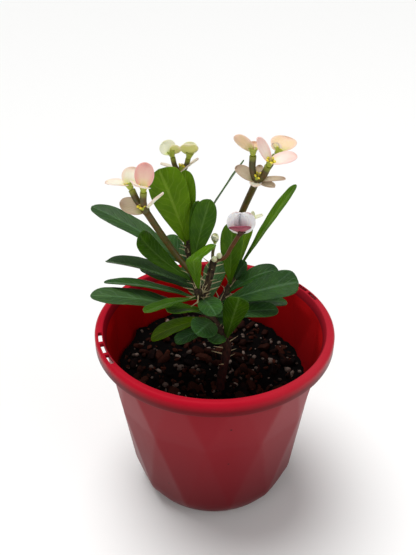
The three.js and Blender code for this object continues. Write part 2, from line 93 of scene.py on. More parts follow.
def edit(piece):
    """Opens one piece in edit mode, with all of it selected."""
    take(piece)
    bpy.ops.object.mode_set(mode="EDIT")
    bpy.ops.mesh.select_all(action="SELECT")


def pick(test):
    """Selects the points, in the piece that is open, whose place passes the test."""
    mesh = bmesh.from_edit_mesh(bpy.context.object.data)
    for point in mesh.verts:
        point.select = test(point.co)
    mesh.select_flush_mode()
    bmesh.update_edit_mesh(bpy.context.object.data)


def turn(axis, degrees):
    """Turns what is selected about an axis through the origin, by the right-hand rule."""
    angle = -math.radians(degrees)
    bpy.ops.transform.rotate(value=angle, orient_axis=axis, center_override=(0, 0, 0))


def shift(way):
    """Moves what is selected."""
    bpy.ops.transform.translate(value=tuple(way))


def stretch(factors, centre=(0, 0, 0)):
    """Scales what is selected along X, Y and Z, from a centre."""
    bpy.ops.transform.resize(value=tuple(factors), center_override=tuple(centre))


print("edit tools ready")


# %% Modify, copy and join
def modify(piece, kind, **settings):
    """Adds a modifier with its settings and applies it."""
    take(piece)
    modifier = piece.modifiers.new(kind.title(), kind)
    for name, value in settings.items():
        setattr(modifier, name, value)
    bpy.ops.object.modifier_apply(modifier=modifier.name)
    return piece


def copy_of(pattern, name):
    """A copy of a pattern with a mesh of its own."""
    copy = pattern.copy()
    copy.data = pattern.data.copy()
    copy.name = name
    bpy.context.collection.objects.link(copy)
    return copy


def join(pieces, name):
    """Makes one piece of several."""
    deselect()
    for piece in pieces:
        piece.select_set(True)
    bpy.context.view_layer.objects.active = pieces[0]
    bpy.ops.object.join()
    pieces[0].name = name
    return pieces[0]


def smooth(piece, degrees=180):
    """Shades a piece smooth, apart from edges sharper than the angle."""
    take(piece)
    bpy.ops.object.shade_smooth_by_angle(angle=math.radians(degrees))
    return piece


PATTERNS = []


def pattern(piece, name):
    """Names a pattern, which gets copied, and is removed at the end."""
    piece.name = name
    PATTERNS.append(piece)
    return piece


print("piece tools ready")

# %% [markdown]
# ## Tools for materials
#
# Colours are written as sRGB hex codes and turned to linear light by one function. A material is
# a Principled shader whose plain values sit on its own sockets. What varies over the surface
# comes from a few nodes, each added by one small function with its settings and its links: a
# link that comes from a node's first output names just the node. All patterns read Object
# coordinates, which are metres here, or the piece's own UV map or attribute, so a pattern's
# scale is one over its real size.

# %% Colours and nodes
def linear(code):
    """An sRGB hex colour as linear red, green, blue and alpha."""
    channels = [int(code[k:k + 2], 16) / 255 for k in (1, 3, 5)]
    light = [c / 12.92 if c <= 0.04045 else ((c + 0.055) / 1.055) ** 2.4 for c in channels]
    return (*light, 1)


def flow(material, source, target, socket):
    """Links a socket, or a node's first output, to a socket of a node."""
    start = source.outputs[0] if hasattr(source, "outputs") else source
    material.node_tree.links.new(start, target.inputs[socket])


def add(material, kind, settings=None, links=None):
    """Adds a node, with its settings and with what flows into its sockets."""
    node = material.node_tree.nodes.new(kind)
    for key, value in (settings or {}).items():
        if isinstance(key, str) and hasattr(node, key):
            setattr(node, key, value)
        else:
            node.inputs[key].default_value = value
    for key, source in (links or {}).items():
        flow(material, source, node, key)
    return node


def new_material(name, colour, roughness, **sockets):
    """A material and its Principled shader, with plain values on the shader's sockets."""
    material = bpy.data.materials.new(name)
    material.use_nodes = True
    shader = material.node_tree.nodes["Principled BSDF"]
    shader.inputs["Base Color"].default_value = linear(colour)
    shader.inputs["Roughness"].default_value = roughness
    for socket, value in sockets.items():
        shader.inputs[socket.replace("_", " ")].default_value = value
    return material, shader


def surface(material, shader, colour, height, strength, depth):
    """Gives a shader its colour, and from a height a fine relief, `depth` metres deep."""
    relief = add(material, "ShaderNodeBump", {"Strength": strength, "Distance": depth},
                 {"Height": height})
    flow(material, colour, shader, "Base Color")
    flow(material, relief, shader, "Normal")
    return material


print("material tools ready")

# %% [markdown]
# ## Leaf materials
#
# A leaf of this plant is a waxy blade. Its upper face is a clear green with a satin gloss from
# the wax, a pale sunken midrib, and side veins that run forward to the edge. Its lower face is
# paler and duller. Young leaves are yellow-green and old ones dark, and some carry a grey dust,
# so there are five greens. They also carry painted light and shade: leaves that stand in shade
# get darker greens, and the young green is lightened for the glow of leaves lit from behind.
# The blade's UV map runs across it (u) and along it (v), so the veins follow each leaf however
# it bends. Noise bends the veins a little and mottles the blade. Some light comes through, which
# the subsurface sockets give.

# %% Make the leaf greens
SIDE_VEINS = 10          # side veins on each half of a leaf
VEIN_SLANT = 2.4         # how far a side vein runs forward, in veins
VEIN_DRIFT = 1.6         # how far noise bends a side vein, in veins
VEIN_WIDTH = 0.16        # half a side vein's width, in veins
MIDRIB_FULL = 0.022      # the midrib's colour is full up to here from the middle line, and
MIDRIB_END = 0.055       # ends here, in shares of the blade's width
MIDRIB_TINT = 0.25       # how much of the veins' colour the midrib takes


def leaf_green(name, blade, mottle, vein, roughness, vein_strength):
    """One green of waxy leaf, with its midrib, side veins and mottling."""
    material, shader = new_material(
        name, blade, roughness, Subsurface_Weight=0.2, Subsurface_Scale=1.5 * MM,
        Subsurface_Radius=(0.6, 1.0, 0.1), Specular_IOR_Level=0.12)
    coords = add(material, "ShaderNodeTexCoord")
    uv = add(material, "ShaderNodeSeparateXYZ", links={0: coords.outputs["UV"]})
    off = add(material, "ShaderNodeMath", {"operation": "SUBTRACT", 1: 0.5}, {0: uv.outputs["X"]})
    side = add(material, "ShaderNodeMath", {"operation": "ABSOLUTE"}, {0: off})
    midrib = add(material, "ShaderNodeMapRange",
                 {"From Min": MIDRIB_FULL, "From Max": MIDRIB_END, "To Min": 1.0, "To Max": 0.0},
                 {"Value": side})
    slant = add(material, "ShaderNodeMath", {"operation": "MULTIPLY", 1: -2 * VEIN_SLANT},
                {0: side})
    drift = add(material, "ShaderNodeTexNoise", {"Scale": 1 / (6 * MM), "Detail": 1.0},
                {"Vector": coords.outputs["Object"]})
    bent = add(material, "ShaderNodeMath", {"operation": "MULTIPLY_ADD", 1: VEIN_DRIFT},
               {0: drift.outputs["Fac"], 2: slant})
    phase = add(material, "ShaderNodeMath", {"operation": "MULTIPLY_ADD", 1: SIDE_VEINS},
                {0: uv.outputs["Y"], 2: bent})
    wave = add(material, "ShaderNodeMath", {"operation": "PINGPONG", 1: 0.5}, {0: phase})
    veins = add(material, "ShaderNodeMapRange",
                {"From Min": 0.0, "From Max": VEIN_WIDTH, "To Min": 1.0, "To Max": 0.0},
                {"Value": wave})
    patches = add(material, "ShaderNodeTexNoise", {"Scale": 1 / (9 * MM), "Detail": 3.0},
                  {"Vector": coords.outputs["Object"]})
    patch = add(material, "ShaderNodeMapRange", {"From Min": 0.35, "From Max": 0.65},
                {"Value": patches.outputs["Fac"]})
    body = add(material, "ShaderNodeMix",
               {"data_type": "RGBA", 6: linear(blade), 7: linear(mottle)}, {0: patch})
    faint = add(material, "ShaderNodeMath", {"operation": "MULTIPLY", 1: vein_strength},
                {0: veins})
    veined = add(material, "ShaderNodeMix", {"data_type": "RGBA", 7: linear(vein)},
                 {0: faint, 6: body.outputs[2]})
    strong = add(material, "ShaderNodeMath", {"operation": "MULTIPLY", 1: MIDRIB_TINT},
                 {0: midrib})
    ribbed = add(material, "ShaderNodeMix", {"data_type": "RGBA", 7: linear(vein)},
                 {0: strong, 6: veined.outputs[2]})
    cells = add(material, "ShaderNodeTexNoise", {"Scale": 1 / (0.8 * MM), "Detail": 2.0},
                {"Vector": coords.outputs["Object"]})
    relief = add(material, "ShaderNodeMath", {"operation": "MULTIPLY_ADD", 1: -0.8},
                 {0: veins, 2: cells.outputs["Fac"]})
    return surface(material, shader, ribbed.outputs[2], relief, 0.5, 0.3 * MM)


# The dark green is also painted shade, for leaves that stand in shade, and the young green is
# lightened as painted light, for the glow of leaves lit from behind
GREENS = {
    "dark": leaf_green("old_and_shaded_leaf_wax", "#25461E", "#30561C", "#6A8F66", 0.4, 0.14),
    "grey": leaf_green("dusty_leaf_wax", "#324E28", "#3C5C2C", "#6E9468", 0.42, 0.16),
    "mid": leaf_green("grown_leaf_wax", "#30540A", "#3E6408", "#7A9A4E", 0.38, 0.14),
    "bright": leaf_green("fresh_leaf_wax", "#42680A", "#527808", "#86A84C", 0.38, 0.12),
    "young": leaf_green("young_and_backlit_leaf_wax", "#4E7000", "#5E8402", "#9DB844", 0.44, 0.14),
}
UNDERSIDES = {
    "dark": leaf_green("old_and_shaded_leaf_underside", "#2C4E2C", "#385C32", "#7C9870", 0.6, 0.2),
    "grey": leaf_green("dusty_leaf_underside", "#3A5230", "#445E34", "#7E9A74", 0.6, 0.2),
    "mid": leaf_green("grown_leaf_underside", "#3C6226", "#476E2A", "#8AA464", 0.6, 0.2),
    "bright": leaf_green("fresh_leaf_underside", "#4E8228", "#5C9030", "#A0C078", 0.6, 0.2),
    "young": leaf_green("young_and_backlit_leaf_underside", "#4C7004", "#5E840C", "#A0B45C", 0.6, 0.2),
}
print("leaf greens:", ", ".join(GREENS), "- each with its underside")

# %% [markdown]
# ## The pattern of a leaf
#
# A real leaf is a flat blade, widest near its tip, that narrows to a short stalk. It is
# modelled once, flat, from a grid: each row of the grid is picked and stretched to the leaf's
# width there, the midrib's column is pressed down, and the tip is merged to a point. A curve or
# a sculpted plane could do it too, but rows are easy to fit to a measured outline. There is a
# spoon-shaped blade, a blunter one, and a short broad one, slightly dished, for the bracts. A
# vertex group named for the margin grows towards the edges, for the waves that come later.

# %% Shape the flat blade
NEAR = 0.01              # points this near to a line of the blade belong to it
THINNEST = 0.05          # the least half width that the margin's weight counts with


def outline(s, swell, close):
    """Half the width of a blade, as a share of its widest, from its stalk (0) to its tip (1)."""
    widest = swell / (swell + close)
    return (s / widest) ** swell * ((1 - s) / (1 - widest)) ** close


def flat_blade(name, rows, columns, swell, close, stalk, rib_depth, dish):
    """A flat blade, 1 m long along +X from the origin and 1 m wide along Y.

    `stalk` is the least width of its lower half, `rib_depth` says how deep the midrib lies,
    and `dish` how high the margins curl up.
    """
    deselect()
    bpy.ops.mesh.primitive_grid_add(x_subdivisions=columns, y_subdivisions=rows, size=1)
    blade = bpy.context.object
    edit(blade)
    shift((0, 0.5, 0))
    for column in range(columns + 1):
        across = column / columns - 0.5
        pick(lambda co, x=across: abs(co.x - x) < NEAR)
        shift((0, 0, 4 * dish * across * across))
    pick(lambda co: abs(co.x) < NEAR)
    shift((0, 0, -rib_depth))
    for row in range(rows + 1):
        s = row / rows
        width = max(outline(s, swell, close), stalk if s < 0.5 else 0)
        pick(lambda co, y=s: abs(co.y - y) < 0.2 / rows)
        stretch((width, 1, 1), (0, s, 0))
    bpy.ops.mesh.select_all(action="SELECT")
    bpy.ops.mesh.remove_doubles(threshold=0.05 * NEAR)
    turn("Z", -90)
    deselect()
    margin = blade.vertex_groups.new(name="margin")
    for point in blade.data.vertices:
        s = min(max(point.co.x, 2 * NEAR), 1 - 2 * NEAR)
        half = max(0.5 * outline(s, swell, close), THINNEST)
        margin.add([point.index], min(1, (point.co.y / half) ** 2), "REPLACE")
    return pattern(blade, name)


SPOON_BLADE = flat_blade("spoon_blade", rows=26, columns=8, swell=1.25, close=0.5, stalk=0.13,
                         rib_depth=0.4 * MM, dish=0)
BLUNT_BLADE = flat_blade("blunt_blade", rows=26, columns=8, swell=1.2, close=0.36, stalk=0.12,
                         rib_depth=0.4 * MM, dish=0)
BRACT_BLADE = flat_blade("bract_blade", rows=14, columns=8, swell=0.55, close=0.5, stalk=0.25,
                         rib_depth=0.1 * MM, dish=0.8 * MM)
print("blades:", [len(flat.data.polygons) for flat in PATTERNS], "faces")

# %% [markdown]
# ## Growing a blade
#
# Each leaf is a copy of the pattern. It is stretched to its length and width, each half is
# folded up about the midrib, and a Simple Deform bends it along its length. It is then rolled
# about its chord, raised, turned to its azimuth and moved to its place on the shoot. A soft
# noise waves its margin, Solidify gives it thickness and its paler lower face, and one
# subdivision rounds its edge. A leaf that is bent sharply is creased while it is still flat.
# Bracts grow in the same way.

# %% Grow one blade
WAVES = bpy.data.textures.new("margin_waves", "CLOUDS")
WAVES.noise_scale = 13 * MM          # about the length of one wave of a margin


def crease(at, slant, drop):
    """Folds the outer part of an open flat blade down, about a line that slants across it."""
    lean = math.radians(slant)
    pick(lambda co: (co.x - at) * math.cos(lean) + co.y * math.sin(lean) > 0)
    shift((-at, 0, 0))
    turn("Z", -slant)
    turn("Y", drop)
    turn("Z", slant)
    shift((at, 0, 0))


def grow(name, flat, at, row, thickness, waves, creased=None):
    """A blade at a place.

    Its row says azimuth, rise, length, width, arch, roll and fold, in degrees and millimetres.
    """
    azimuth, rise, length, width, arch, roll, fold = row
    blade = copy_of(flat, name)
    edit(blade)
    stretch((length * MM, width * MM, 1))
    for half in (1, -1):
        pick(lambda co, side=half: co.y * side > 0.01 * MM)
        turn("X", half * fold)
    if creased:
        crease(*creased)
    bpy.ops.mesh.select_all(action="SELECT")
    turn("X", 90)
    modify(blade, "SIMPLE_DEFORM", deform_method="BEND", deform_axis="Z", angle=math.radians(arch))
    edit(blade)
    turn("Z", -arch / 2)
    turn("X", roll - 90)
    turn("Y", -rise)
    turn("Z", azimuth)
    shift(at)
    modify(blade, "DISPLACE", texture=WAVES, strength=waves, mid_level=0.5, vertex_group="margin")
    modify(blade, "SOLIDIFY", thickness=thickness, offset=-1, material_offset=1)
    modify(blade, "SUBSURF", levels=1, render_levels=1)
    return smooth(blade)


print("blades can grow")

# %% [markdown]
# ## Shoots and leaves
#
# The shoots are the woody stems: a trunk, which forks into a leader at the left, a short front
# shoot, a middle one and a back one. Their centre lines are lists of points in millimetres. A
# leaf stands at a place from 0 to 1 along its shoot. The place is found on the smooth curve
# through the points.

# %% The shoots' centre lines
SHOOTS = {              # each one's radius and its line, in millimetres
    "trunk": (2.6, [(4, -14, 64), (4, -14, 82), (6, -14, 98), (7, -13, 110), (3, -13, 120),
                    (-2, -12, 129), (-7, -10, 140)]),
    "leader": (2.6, [(-7, -10, 139), (-11, -4, 149), (-14, 4, 160), (-15, 7, 167)]),
    "front": (2.2, [(-6, -10, 138), (-8, -15, 145), (-9, -19, 151)]),
    "middle": (2.1, [(-6, -9, 139), (-4, -6, 148), (-1, -2, 160)]),
    "back": (2.4, [(-4, -11, 132), (1, -2, 130), (8, 10, 134), (14, 20, 142)]),
}


def along(line, t):
    """The place, in metres, and the direction at t, from 0 to 1, on the curve through a line."""
    last = len(line) - 1
    k = min(int(t * last), last - 1)
    w = t * last - k
    a, b = Vector(line[k]), Vector(line[k + 1])
    before = Vector(line[k - 1]) if k > 0 else 2 * a - b
    after = Vector(line[k + 2]) if k + 2 <= last else 2 * b - a
    rate = 0.5          # at each point the curve heads as its two neighbours lie
    start, end = rate * (b - before), rate * (after - a)
    place = ((2 * a - 2 * b + start + end) * w ** 3 + (3 * b - 3 * a - 2 * start - end) * w ** 2
             + start * w + a)
    way = ((6 * a - 6 * b + 3 * start + 3 * end) * w ** 2
           + (6 * b - 6 * a - 4 * start - 2 * end) * w + start)
    return place * MM, way.normalized()


print("shoots:", ", ".join(SHOOTS))

# %% [markdown]
# ## The leaves
#
# Each row says where a leaf grows: the shoot and the place along it, the azimuth and rise of
# the straight line from stalk to tip in degrees, its length and width in millimetres, how far
# it arches, its roll and the fold of its halves in degrees. The last word is its green, which is
# partly the leaf's age and partly painted light and shade: leaves in shade have darker greens,
# and the young green is lightened for leaves lit from behind.

# %% The leaves, one by one
LEAVES = {
    "leader_leaf_1": ("leader", 0.8, 168, 71, 50.5, 22, 20, -50, 14, "young"),
    "leader_leaf_2": ("leader", 1, 100, 76, 41, 10.5, 14, -3, 8, "young"),
    "leader_leaf_3": ("leader", 0.5, 4, 77, 43.8, 14, 22, 60, 8, "mid"),
    "leader_leaf_4": ("leader", 0.5, 155, 20, 70, 15, 20, -5, 12, "grey"),
    "leader_leaf_5": ("leader", 0.3, -163, 50, 52, 12, -92, -62, 6, "mid"),
    "leader_leaf_6": ("leader", 0.22, 158, 3, 59, 16, 18, 12, 26, "grey"),
    "leader_leaf_7": ("leader", 0.95, 46, 41, 58, 12, 7, -52, 2, "mid"),
    "leader_leaf_8": ("leader", 0.55, 62, 78, 37, 8, 12, 34, 8, "mid"),
    "leader_leaf_9": ("leader", 0.5, 122, -3, 40, 17, 30, -25, 8, "dark"),
    "leader_leaf_10": ("leader", 0.12, 139, -1, 46, 16, 20, 0, 8, "dark"),
    "leader_leaf_11": ("leader", 0.02, 173, 7, 57, 14, 20, 18, 12, "dark"),
    "trunk_leaf_1": ("trunk", 0.93, 79, 12, 40, 14, 25, 0, 8, "dark"),
    "trunk_leaf_2": ("trunk", 0.86, -175, 14, 68.5, 19, 22, 4, 8, "grey"),
    "trunk_leaf_3": ("trunk", 0.9, -135, 26, 33, 12, 22, 0, 8, "mid"),
    "trunk_leaf_4": ("trunk", 0.78, -108, 24, 33, 15, 40, -25, 6, "dark"),
    "trunk_leaf_5": ("trunk", 0.84, 12, 0, 40, 13, 20, 10, 8, "dark"),
    "trunk_leaf_6": ("trunk", 0.55, -48, 74, 38, 14, 8, -48, 6, "mid"),
    "trunk_leaf_7": ("trunk", 0.62, -106, 26, 22, 11, 35, -15, 6, "dark"),
    "trunk_leaf_8": ("trunk", 0.84, 174, -27, 40, 14, 25, -10, 6, "young"),
    "trunk_leaf_9": ("trunk", 0.74, -153, -8, 26, 11, 30, 0, 6, "dark"),
    "trunk_leaf_10": ("trunk", 0.88, 114, 10, 42, 14, 25, 0, 8, "dark"),
    "trunk_leaf_11": ("trunk", 0.7, 75, -4, 38, 14, 20, 0, 8, "dark"),
    "front_leaf_1": ("front", 0.95, 0, 97, 36, 14, 6, 50, 6, "bright"),
    "front_leaf_2": ("front", 0.5, -135, 14, 41, 10, 18, 10, 6, "mid"),
    "front_leaf_3": ("front", 0.3, -76, 21, 37, 12, 42, 15, 6, "dark"),
    "back_leaf_1": ("back", 0.38, -2, 21, 49, 19, 22, 22, 8, "dark"),
    "back_leaf_2": ("back", 0.58, 15, 21, 35, 13, 45, 10, 18, "dark"),
    "back_leaf_3": ("back", 0.8, -12, 62, 16, 9, 25, 45, 8, "dark"),
    "back_leaf_4": ("back", 0.2, 25, -9, 50, 14, 18, 0, 6, "dark"),
    "back_leaf_5": ("back", 1, 32, 50, 60, 10.5, 6, -16, 10, "bright"),
    "back_leaf_6": ("back", 0.95, 69, 50, 36, 11, 15, -25, 8, "young"),
    "back_leaf_7": ("back", 0.7, 80, 85, 42, 13, 15, 8, 8, "bright"),
}
CREASED = {"front_leaf_1": (21 * MM, 24, 80)}      # where, its slant and how far it folds
BLUNT_LEAVES = ("leader_leaf_1", "back_leaf_1", "trunk_leaf_6")
LEAF_THICKNESS = 0.7 * MM
LEAF_WAVES = 2.4 * MM

for node, (shoot, place, *row, green) in LEAVES.items():
    flat = BLUNT_BLADE if node in BLUNT_LEAVES else SPOON_BLADE
    at, _ = along(SHOOTS[shoot][1], place)
    leaf = grow(node + "_blade", flat, at, row, LEAF_THICKNESS, LEAF_WAVES, CREASED.get(node))
    leaf.data.materials.append(GREENS[green])
    leaf.data.materials.append(UNDERSIDES[green])
    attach(leaf, "root")
    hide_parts(node)
print("leaves grown:", len(LEAVES))

# %% [markdown]
# ## Stems
#
# Shoots and flower stalks are round stems that fork. Each stem is a Bezier curve, subdivided to
# as many points as its line has, with a round bevel. The curves become meshes, are joined, and
# a voxel remesh fuses them, so that a fork has no seam. Two tubes set into each other would be
# quicker, but their crossing would show as a sharp line.

# %% Draw and fuse stems
def stem(line, radius, taper=1.0):
    """A round tube through a line of points; its far end has `taper` times its radius."""
    deselect()
    bpy.ops.curve.primitive_bezier_curve_add()
    tube = bpy.context.object
    if len(line) > 2:
        bpy.ops.object.mode_set(mode="EDIT")
        bpy.ops.curve.subdivide(number_cuts=len(line) - 2)
        bpy.ops.object.mode_set(mode="OBJECT")
    for k, (point, place) in enumerate(zip(tube.data.splines[0].bezier_points, line)):
        point.handle_left_type = point.handle_right_type = "AUTO"
        point.co = Vector(place) * MM
        point.radius = 1 + (taper - 1) * k / (len(line) - 1)
    tube.data.bevel_depth = radius * MM
    tube.data.bevel_resolution = 4
    tube.data.use_fill_caps = True
    bpy.ops.object.convert(target="MESH")
    return bpy.context.object


def knob(place, radius):
    """A small ball that rounds the end of a stem."""
    deselect()
    bpy.ops.mesh.primitive_ico_sphere_add(subdivisions=2, radius=radius * MM,
                                          location=Vector(place) * MM)
    bpy.ops.object.transform_apply(location=True, rotation=False, scale=False)
    return bpy.context.object


def fuse(stems, name, voxel, smoothing=4):
    """One closed skin from overlapping stems."""
    whole = join(stems, name)
    modify(whole, "REMESH", mode="VOXEL", voxel_size=voxel)
    modify(whole, "SMOOTH", factor=0.5, iterations=smoothing)
    return smooth(whole)


print("stems can be drawn")

# %% [markdown]
# ## Bark and thorns
#
# Old wood of this plant is brown to grey, ribbed and cracked at a millimetre or so, redder near
# the soil. Each thorn is a slender spike, dark at its root and pale grey above, which stands
# out from the shoot on a spiral. One thorn is a cone, given a foot by an extra ring and a
# slight bend at its tip. It is copied along every shoot, with a seeded draw of its length and
# lean.

# %% Make bark and thorn materials
RED_HEIGHT = 100 * MM    # the wood is red up to here, and
BROWN_HEIGHT = 135 * MM  # grey-brown from here


def bark():
    """Rough bark: grey-brown, with ridges along the stem and redder low down."""
    material, shader = new_material("cracked_bark", "#4A3526", 0.8, Specular_IOR_Level=0.3)
    coords = add(material, "ShaderNodeTexCoord")
    long = add(material, "ShaderNodeMapping", {"Scale": (1, 1, 0.35)},
               {"Vector": coords.outputs["Object"]})
    ridges = add(material, "ShaderNodeTexNoise", {"Scale": 1 / (1.1 * MM), "Detail": 4.0},
                 {"Vector": long})
    place = add(material, "ShaderNodeSeparateXYZ", links={0: coords.outputs["Object"]})
    height = add(material, "ShaderNodeMapRange",
                 {"From Min": RED_HEIGHT, "From Max": BROWN_HEIGHT}, {"Value": place.outputs["Z"]})
    wood = add(material, "ShaderNodeMix",
               {"data_type": "RGBA", 6: linear("#3C1511"), 7: linear("#4E3E28")}, {0: height})
    dark = add(material, "ShaderNodeMapRange", {"From Min": 0.35, "From Max": 0.65},
               {"Value": ridges.outputs["Fac"]})
    skin = add(material, "ShaderNodeMix", {"data_type": "RGBA", 6: linear("#1A0E0A")},
               {0: dark, 7: wood.outputs[2]})
    return surface(material, shader, skin.outputs[2], ridges.outputs["Fac"], 0.8, 0.5 * MM)


def thorn_horn():
    """Thorn: dry horn, brown with paler streaks."""
    material, shader = new_material("thorn_horn", "#A8986C", 0.5)
    coords = add(material, "ShaderNodeTexCoord")
    streaks = add(material, "ShaderNodeTexNoise", {"Scale": 1 / (1.5 * MM), "Detail": 2.0},
                  {"Vector": coords.outputs["Object"]})
    tone = add(material, "ShaderNodeMix",
               {"data_type": "RGBA", 6: linear("#8A7448"), 7: linear("#DCD2A4")},
               {0: streaks.outputs["Fac"]})
    flow(material, tone.outputs[2], shader, "Base Color")
    return material


BARK = bark()
THORN_HORN = thorn_horn()
print("bark ready")


# %% Model one thorn
THORN_RING = 0.15        # height of the ring above the foot, on a thorn 1 m long


def one_thorn():
    """A spike 1 m long along +Z, 0.1 m across its foot."""
    deselect()
    bpy.ops.mesh.primitive_cone_add(vertices=6, radius1=0.1, radius2=0.012, depth=1,
                                    location=(0, 0, 0.5))
    bpy.ops.object.transform_apply()
    spike = bpy.context.object
    edit(spike)
    bpy.ops.mesh.bisect(plane_co=(0, 0, THORN_RING), plane_no=(0, 0, 1))
    pick(lambda co: abs(co.z - THORN_RING) < NEAR)
    stretch((0.65, 0.65, 1), (0, 0, THORN_RING))
    pick(lambda co: co.z > 0.9)
    shift((0.06, 0, 0))
    deselect()
    spike.data.materials.append(THORN_HORN)
    return pattern(spike, "one_thorn")


THORN = one_thorn()
print("thorn pattern:", len(THORN.data.polygons), "faces")


# %% Raise the shoots with their thorns
THORN_ROWS = {"trunk": (16, 0.3, 0.88), "leader": (34, 0.06, 1), "front": (24, 0.1, 1),
              "middle": (18, 0.15, 1), "back": (24, 0.2, 1)}     # how many, first and last place
GOLDEN = 137.5           # degrees between one thorn and the next round the stem
THORN_LENGTHS = (4, 7.5)             # millimetres
THORN_LEAN = 0.35        # how far a thorn leans along the shoot
THORN_WANDER = 0.2       # and at most how far it strays to any side
THORN_ROOT = 0.7         # how far out it starts, in radii of the shoot


def thorns_on(shoot, draw):
    """Thorns on a spiral round one shoot."""
    count, low, high = THORN_ROWS[shoot]
    radius, line = SHOOTS[shoot]
    spikes = []
    for k in range(count):
        place, axis = along(line, low + (high - low) * k / (count - 1))
        side = Vector((0, 0, 1)).cross(axis).normalized()
        side.rotate(Matrix.Rotation(math.radians(GOLDEN * k), 3, axis))
        stray = Vector([draw.uniform(-THORN_WANDER, THORN_WANDER) for _ in range(3)])
        way = side + THORN_LEAN * axis + stray
        length = draw.uniform(*THORN_LENGTHS) * MM
        spike = copy_of(THORN, "spike")
        spin = way.to_track_quat("Z", "X").to_matrix().to_4x4()
        root = Matrix.Translation(place + side * radius * THORN_ROOT * MM)
        spike.data.transform(root @ spin @ Matrix.Scale(length, 4))
        spikes.append(spike)
    return spikes


SHOOT_VOXEL = 0.45 * MM
SHOOT_KNOB = 1.15        # a shoot's end, in radii of the shoot
BARK_RELIEF = 0.7 * MM

draw = random.Random(4)
shoots = fuse([part for radius, line in SHOOTS.values()
               for part in (stem(line, radius), knob(line[-1], radius * SHOOT_KNOB))],
              "shoots_bark", SHOOT_VOXEL)
shoots.data.materials.clear()
shoots.data.materials.append(BARK)
ROUGH = bpy.data.textures.new("bark_lumps", "CLOUDS")
ROUGH.noise_scale = 3 * MM
modify(shoots, "DISPLACE", texture=ROUGH, strength=BARK_RELIEF, mid_level=0.5)
shoots = join([shoots] + [spike for shoot in SHOOTS for spike in thorns_on(shoot, draw)],
              "shoots_bark")
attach(shoots, "root")
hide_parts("shoots")
print("shoots:", len(shoots.data.polygons), "faces")

# %% [markdown]
# ## Flower stalks
#
# A flower stalk is smooth, olive-brown and a little sticky. It forks below each flower, and its
# last few millimetres are fresh yellow-green. The colour follows an attribute named youth,
# worked out for each point of the skin from its distance to the nearest tip. The front stalk is
# redder and old up to its end. A second function gives soft tissue that varies between two
# colours, for the buds and later for the hearts of the flowers.

# %% Make the stalk skin
def stalk_skin(name, old, red):
    """Smooth stalk skin, from old olive-brown to the fresh green of its tips."""
    material, shader = new_material(name, old, 0.45)
    coords = add(material, "ShaderNodeTexCoord")
    youth = add(material, "ShaderNodeAttribute", {"attribute_name": "youth"})
    flecks = add(material, "ShaderNodeTexNoise", {"Scale": 1 / (2.5 * MM), "Detail": 3.0},
                 {"Vector": coords.outputs["Object"]})
    fleck = add(material, "ShaderNodeMapRange", {"From Min": 0.4, "From Max": 0.65},
                {"Value": flecks.outputs["Fac"]})
    wood = add(material, "ShaderNodeMix", {"data_type": "RGBA", 6: linear(old), 7: linear(red)},
               {0: fleck})
    fresh = add(material, "ShaderNodeMix", {"data_type": "RGBA", 7: linear("#9DAA2E")},
                {0: youth.outputs["Fac"], 6: wood.outputs[2]})
    fine = add(material, "ShaderNodeTexNoise", {"Scale": 1 / (0.5 * MM), "Detail": 2.0},
               {"Vector": coords.outputs["Object"]})
    return surface(material, shader, fresh.outputs[2], fine.outputs["Fac"], 0.3, 0.15 * MM)


def soft_skin(name, low, high, roughness, grain):
    """Plant tissue that varies between two colours, at a grain in millimetres."""
    material, shader = new_material(name, low, roughness, Subsurface_Weight=0.1,
                                    Subsurface_Scale=0.001)
    coords = add(material, "ShaderNodeTexCoord")
    noise = add(material, "ShaderNodeTexNoise", {"Scale": 1 / (grain * MM), "Detail": 2.0},
                {"Vector": coords.outputs["Object"]})
    tone = add(material, "ShaderNodeMix",
               {"data_type": "RGBA", 6: linear(low), 7: linear(high)}, {0: noise.outputs["Fac"]})
    return surface(material, shader, tone.outputs[2], noise.outputs["Fac"], 0.3, 0.1 * MM)


OLIVE_STALK = stalk_skin("olive_stalk_skin", "#46440C", "#5A3E10")
RED_STALK = stalk_skin("red_stalk_skin", "#56300E", "#6A3C18")
BUD_SKIN = soft_skin("bud_skin", "#C9CF96", "#E2E2BE", 0.45, 1.5)
print("stalk skins ready")

# %% [markdown]
# Each stalk has its radius and its lines in millimetres: the main stalk first, then its forks.
# A ball where they part makes the swollen knuckle. Two round pale buds sit low on the front
# stalk: each is a ball with its top drawn out a little.

# %% Raise the flower stalks
STALKS = {
    "left_flower_stalk": (1.75, [
        [(-12, -3, 152), (-19.5, -4, 162.5), (-29, -9.5, 182), (-35.8, -15, 198)],
        [(-35.6, -15, 197.2), (-39.8, -14, 203), (-42.4, -13, 208.6)],
        [(-35.6, -15, 197.2), (-36.3, -17, 204), (-35.9, -18, 209.8)]]),
    "top_flower_stalk": (1.45, [
        [(-15, 8, 165), (-22, 15, 174), (-23, 23, 188), (-19.6, 26, 200.5)],
        [(-19.6, 26, 199.5), (-22.6, 26, 204), (-24, 26, 209.6)],
        [(-19.6, 26, 199.5), (-16.9, 26, 204), (-15.4, 25, 209.4)]]),
    "right_flower_stalk": (1.8, [
        [(12.5, 18, 141), (9, 20, 157), (12.8, 17, 175), (21.2, 7, 204.7)],
        [(21.2, 7, 203.7), (18.9, 7, 211), (18.8, 7, 219)],
        [(21.2, 7, 203.7), (24.5, 4, 209), (26.5, 2, 215.5)],
        [(21.2, 7, 203.7), (26.5, 10, 210), (31.1, 12, 217.3)],
        [(11, 18, 169), (16, 22, 171), (20.3, 25, 171.8)]]),
    "front_flower_stalk": (1.1, [
        [(-1, -2, 159), (1, -4, 162.5), (4.5, -5.3, 164.3), (8.4, -6.8, 172), (12.3, -9, 180.9)]]),
    "young_flower_stalk": (0.9, [[(-1, -2, 158), (-1.5, 3, 162), (-0.5, 6, 166.5)]]),
}
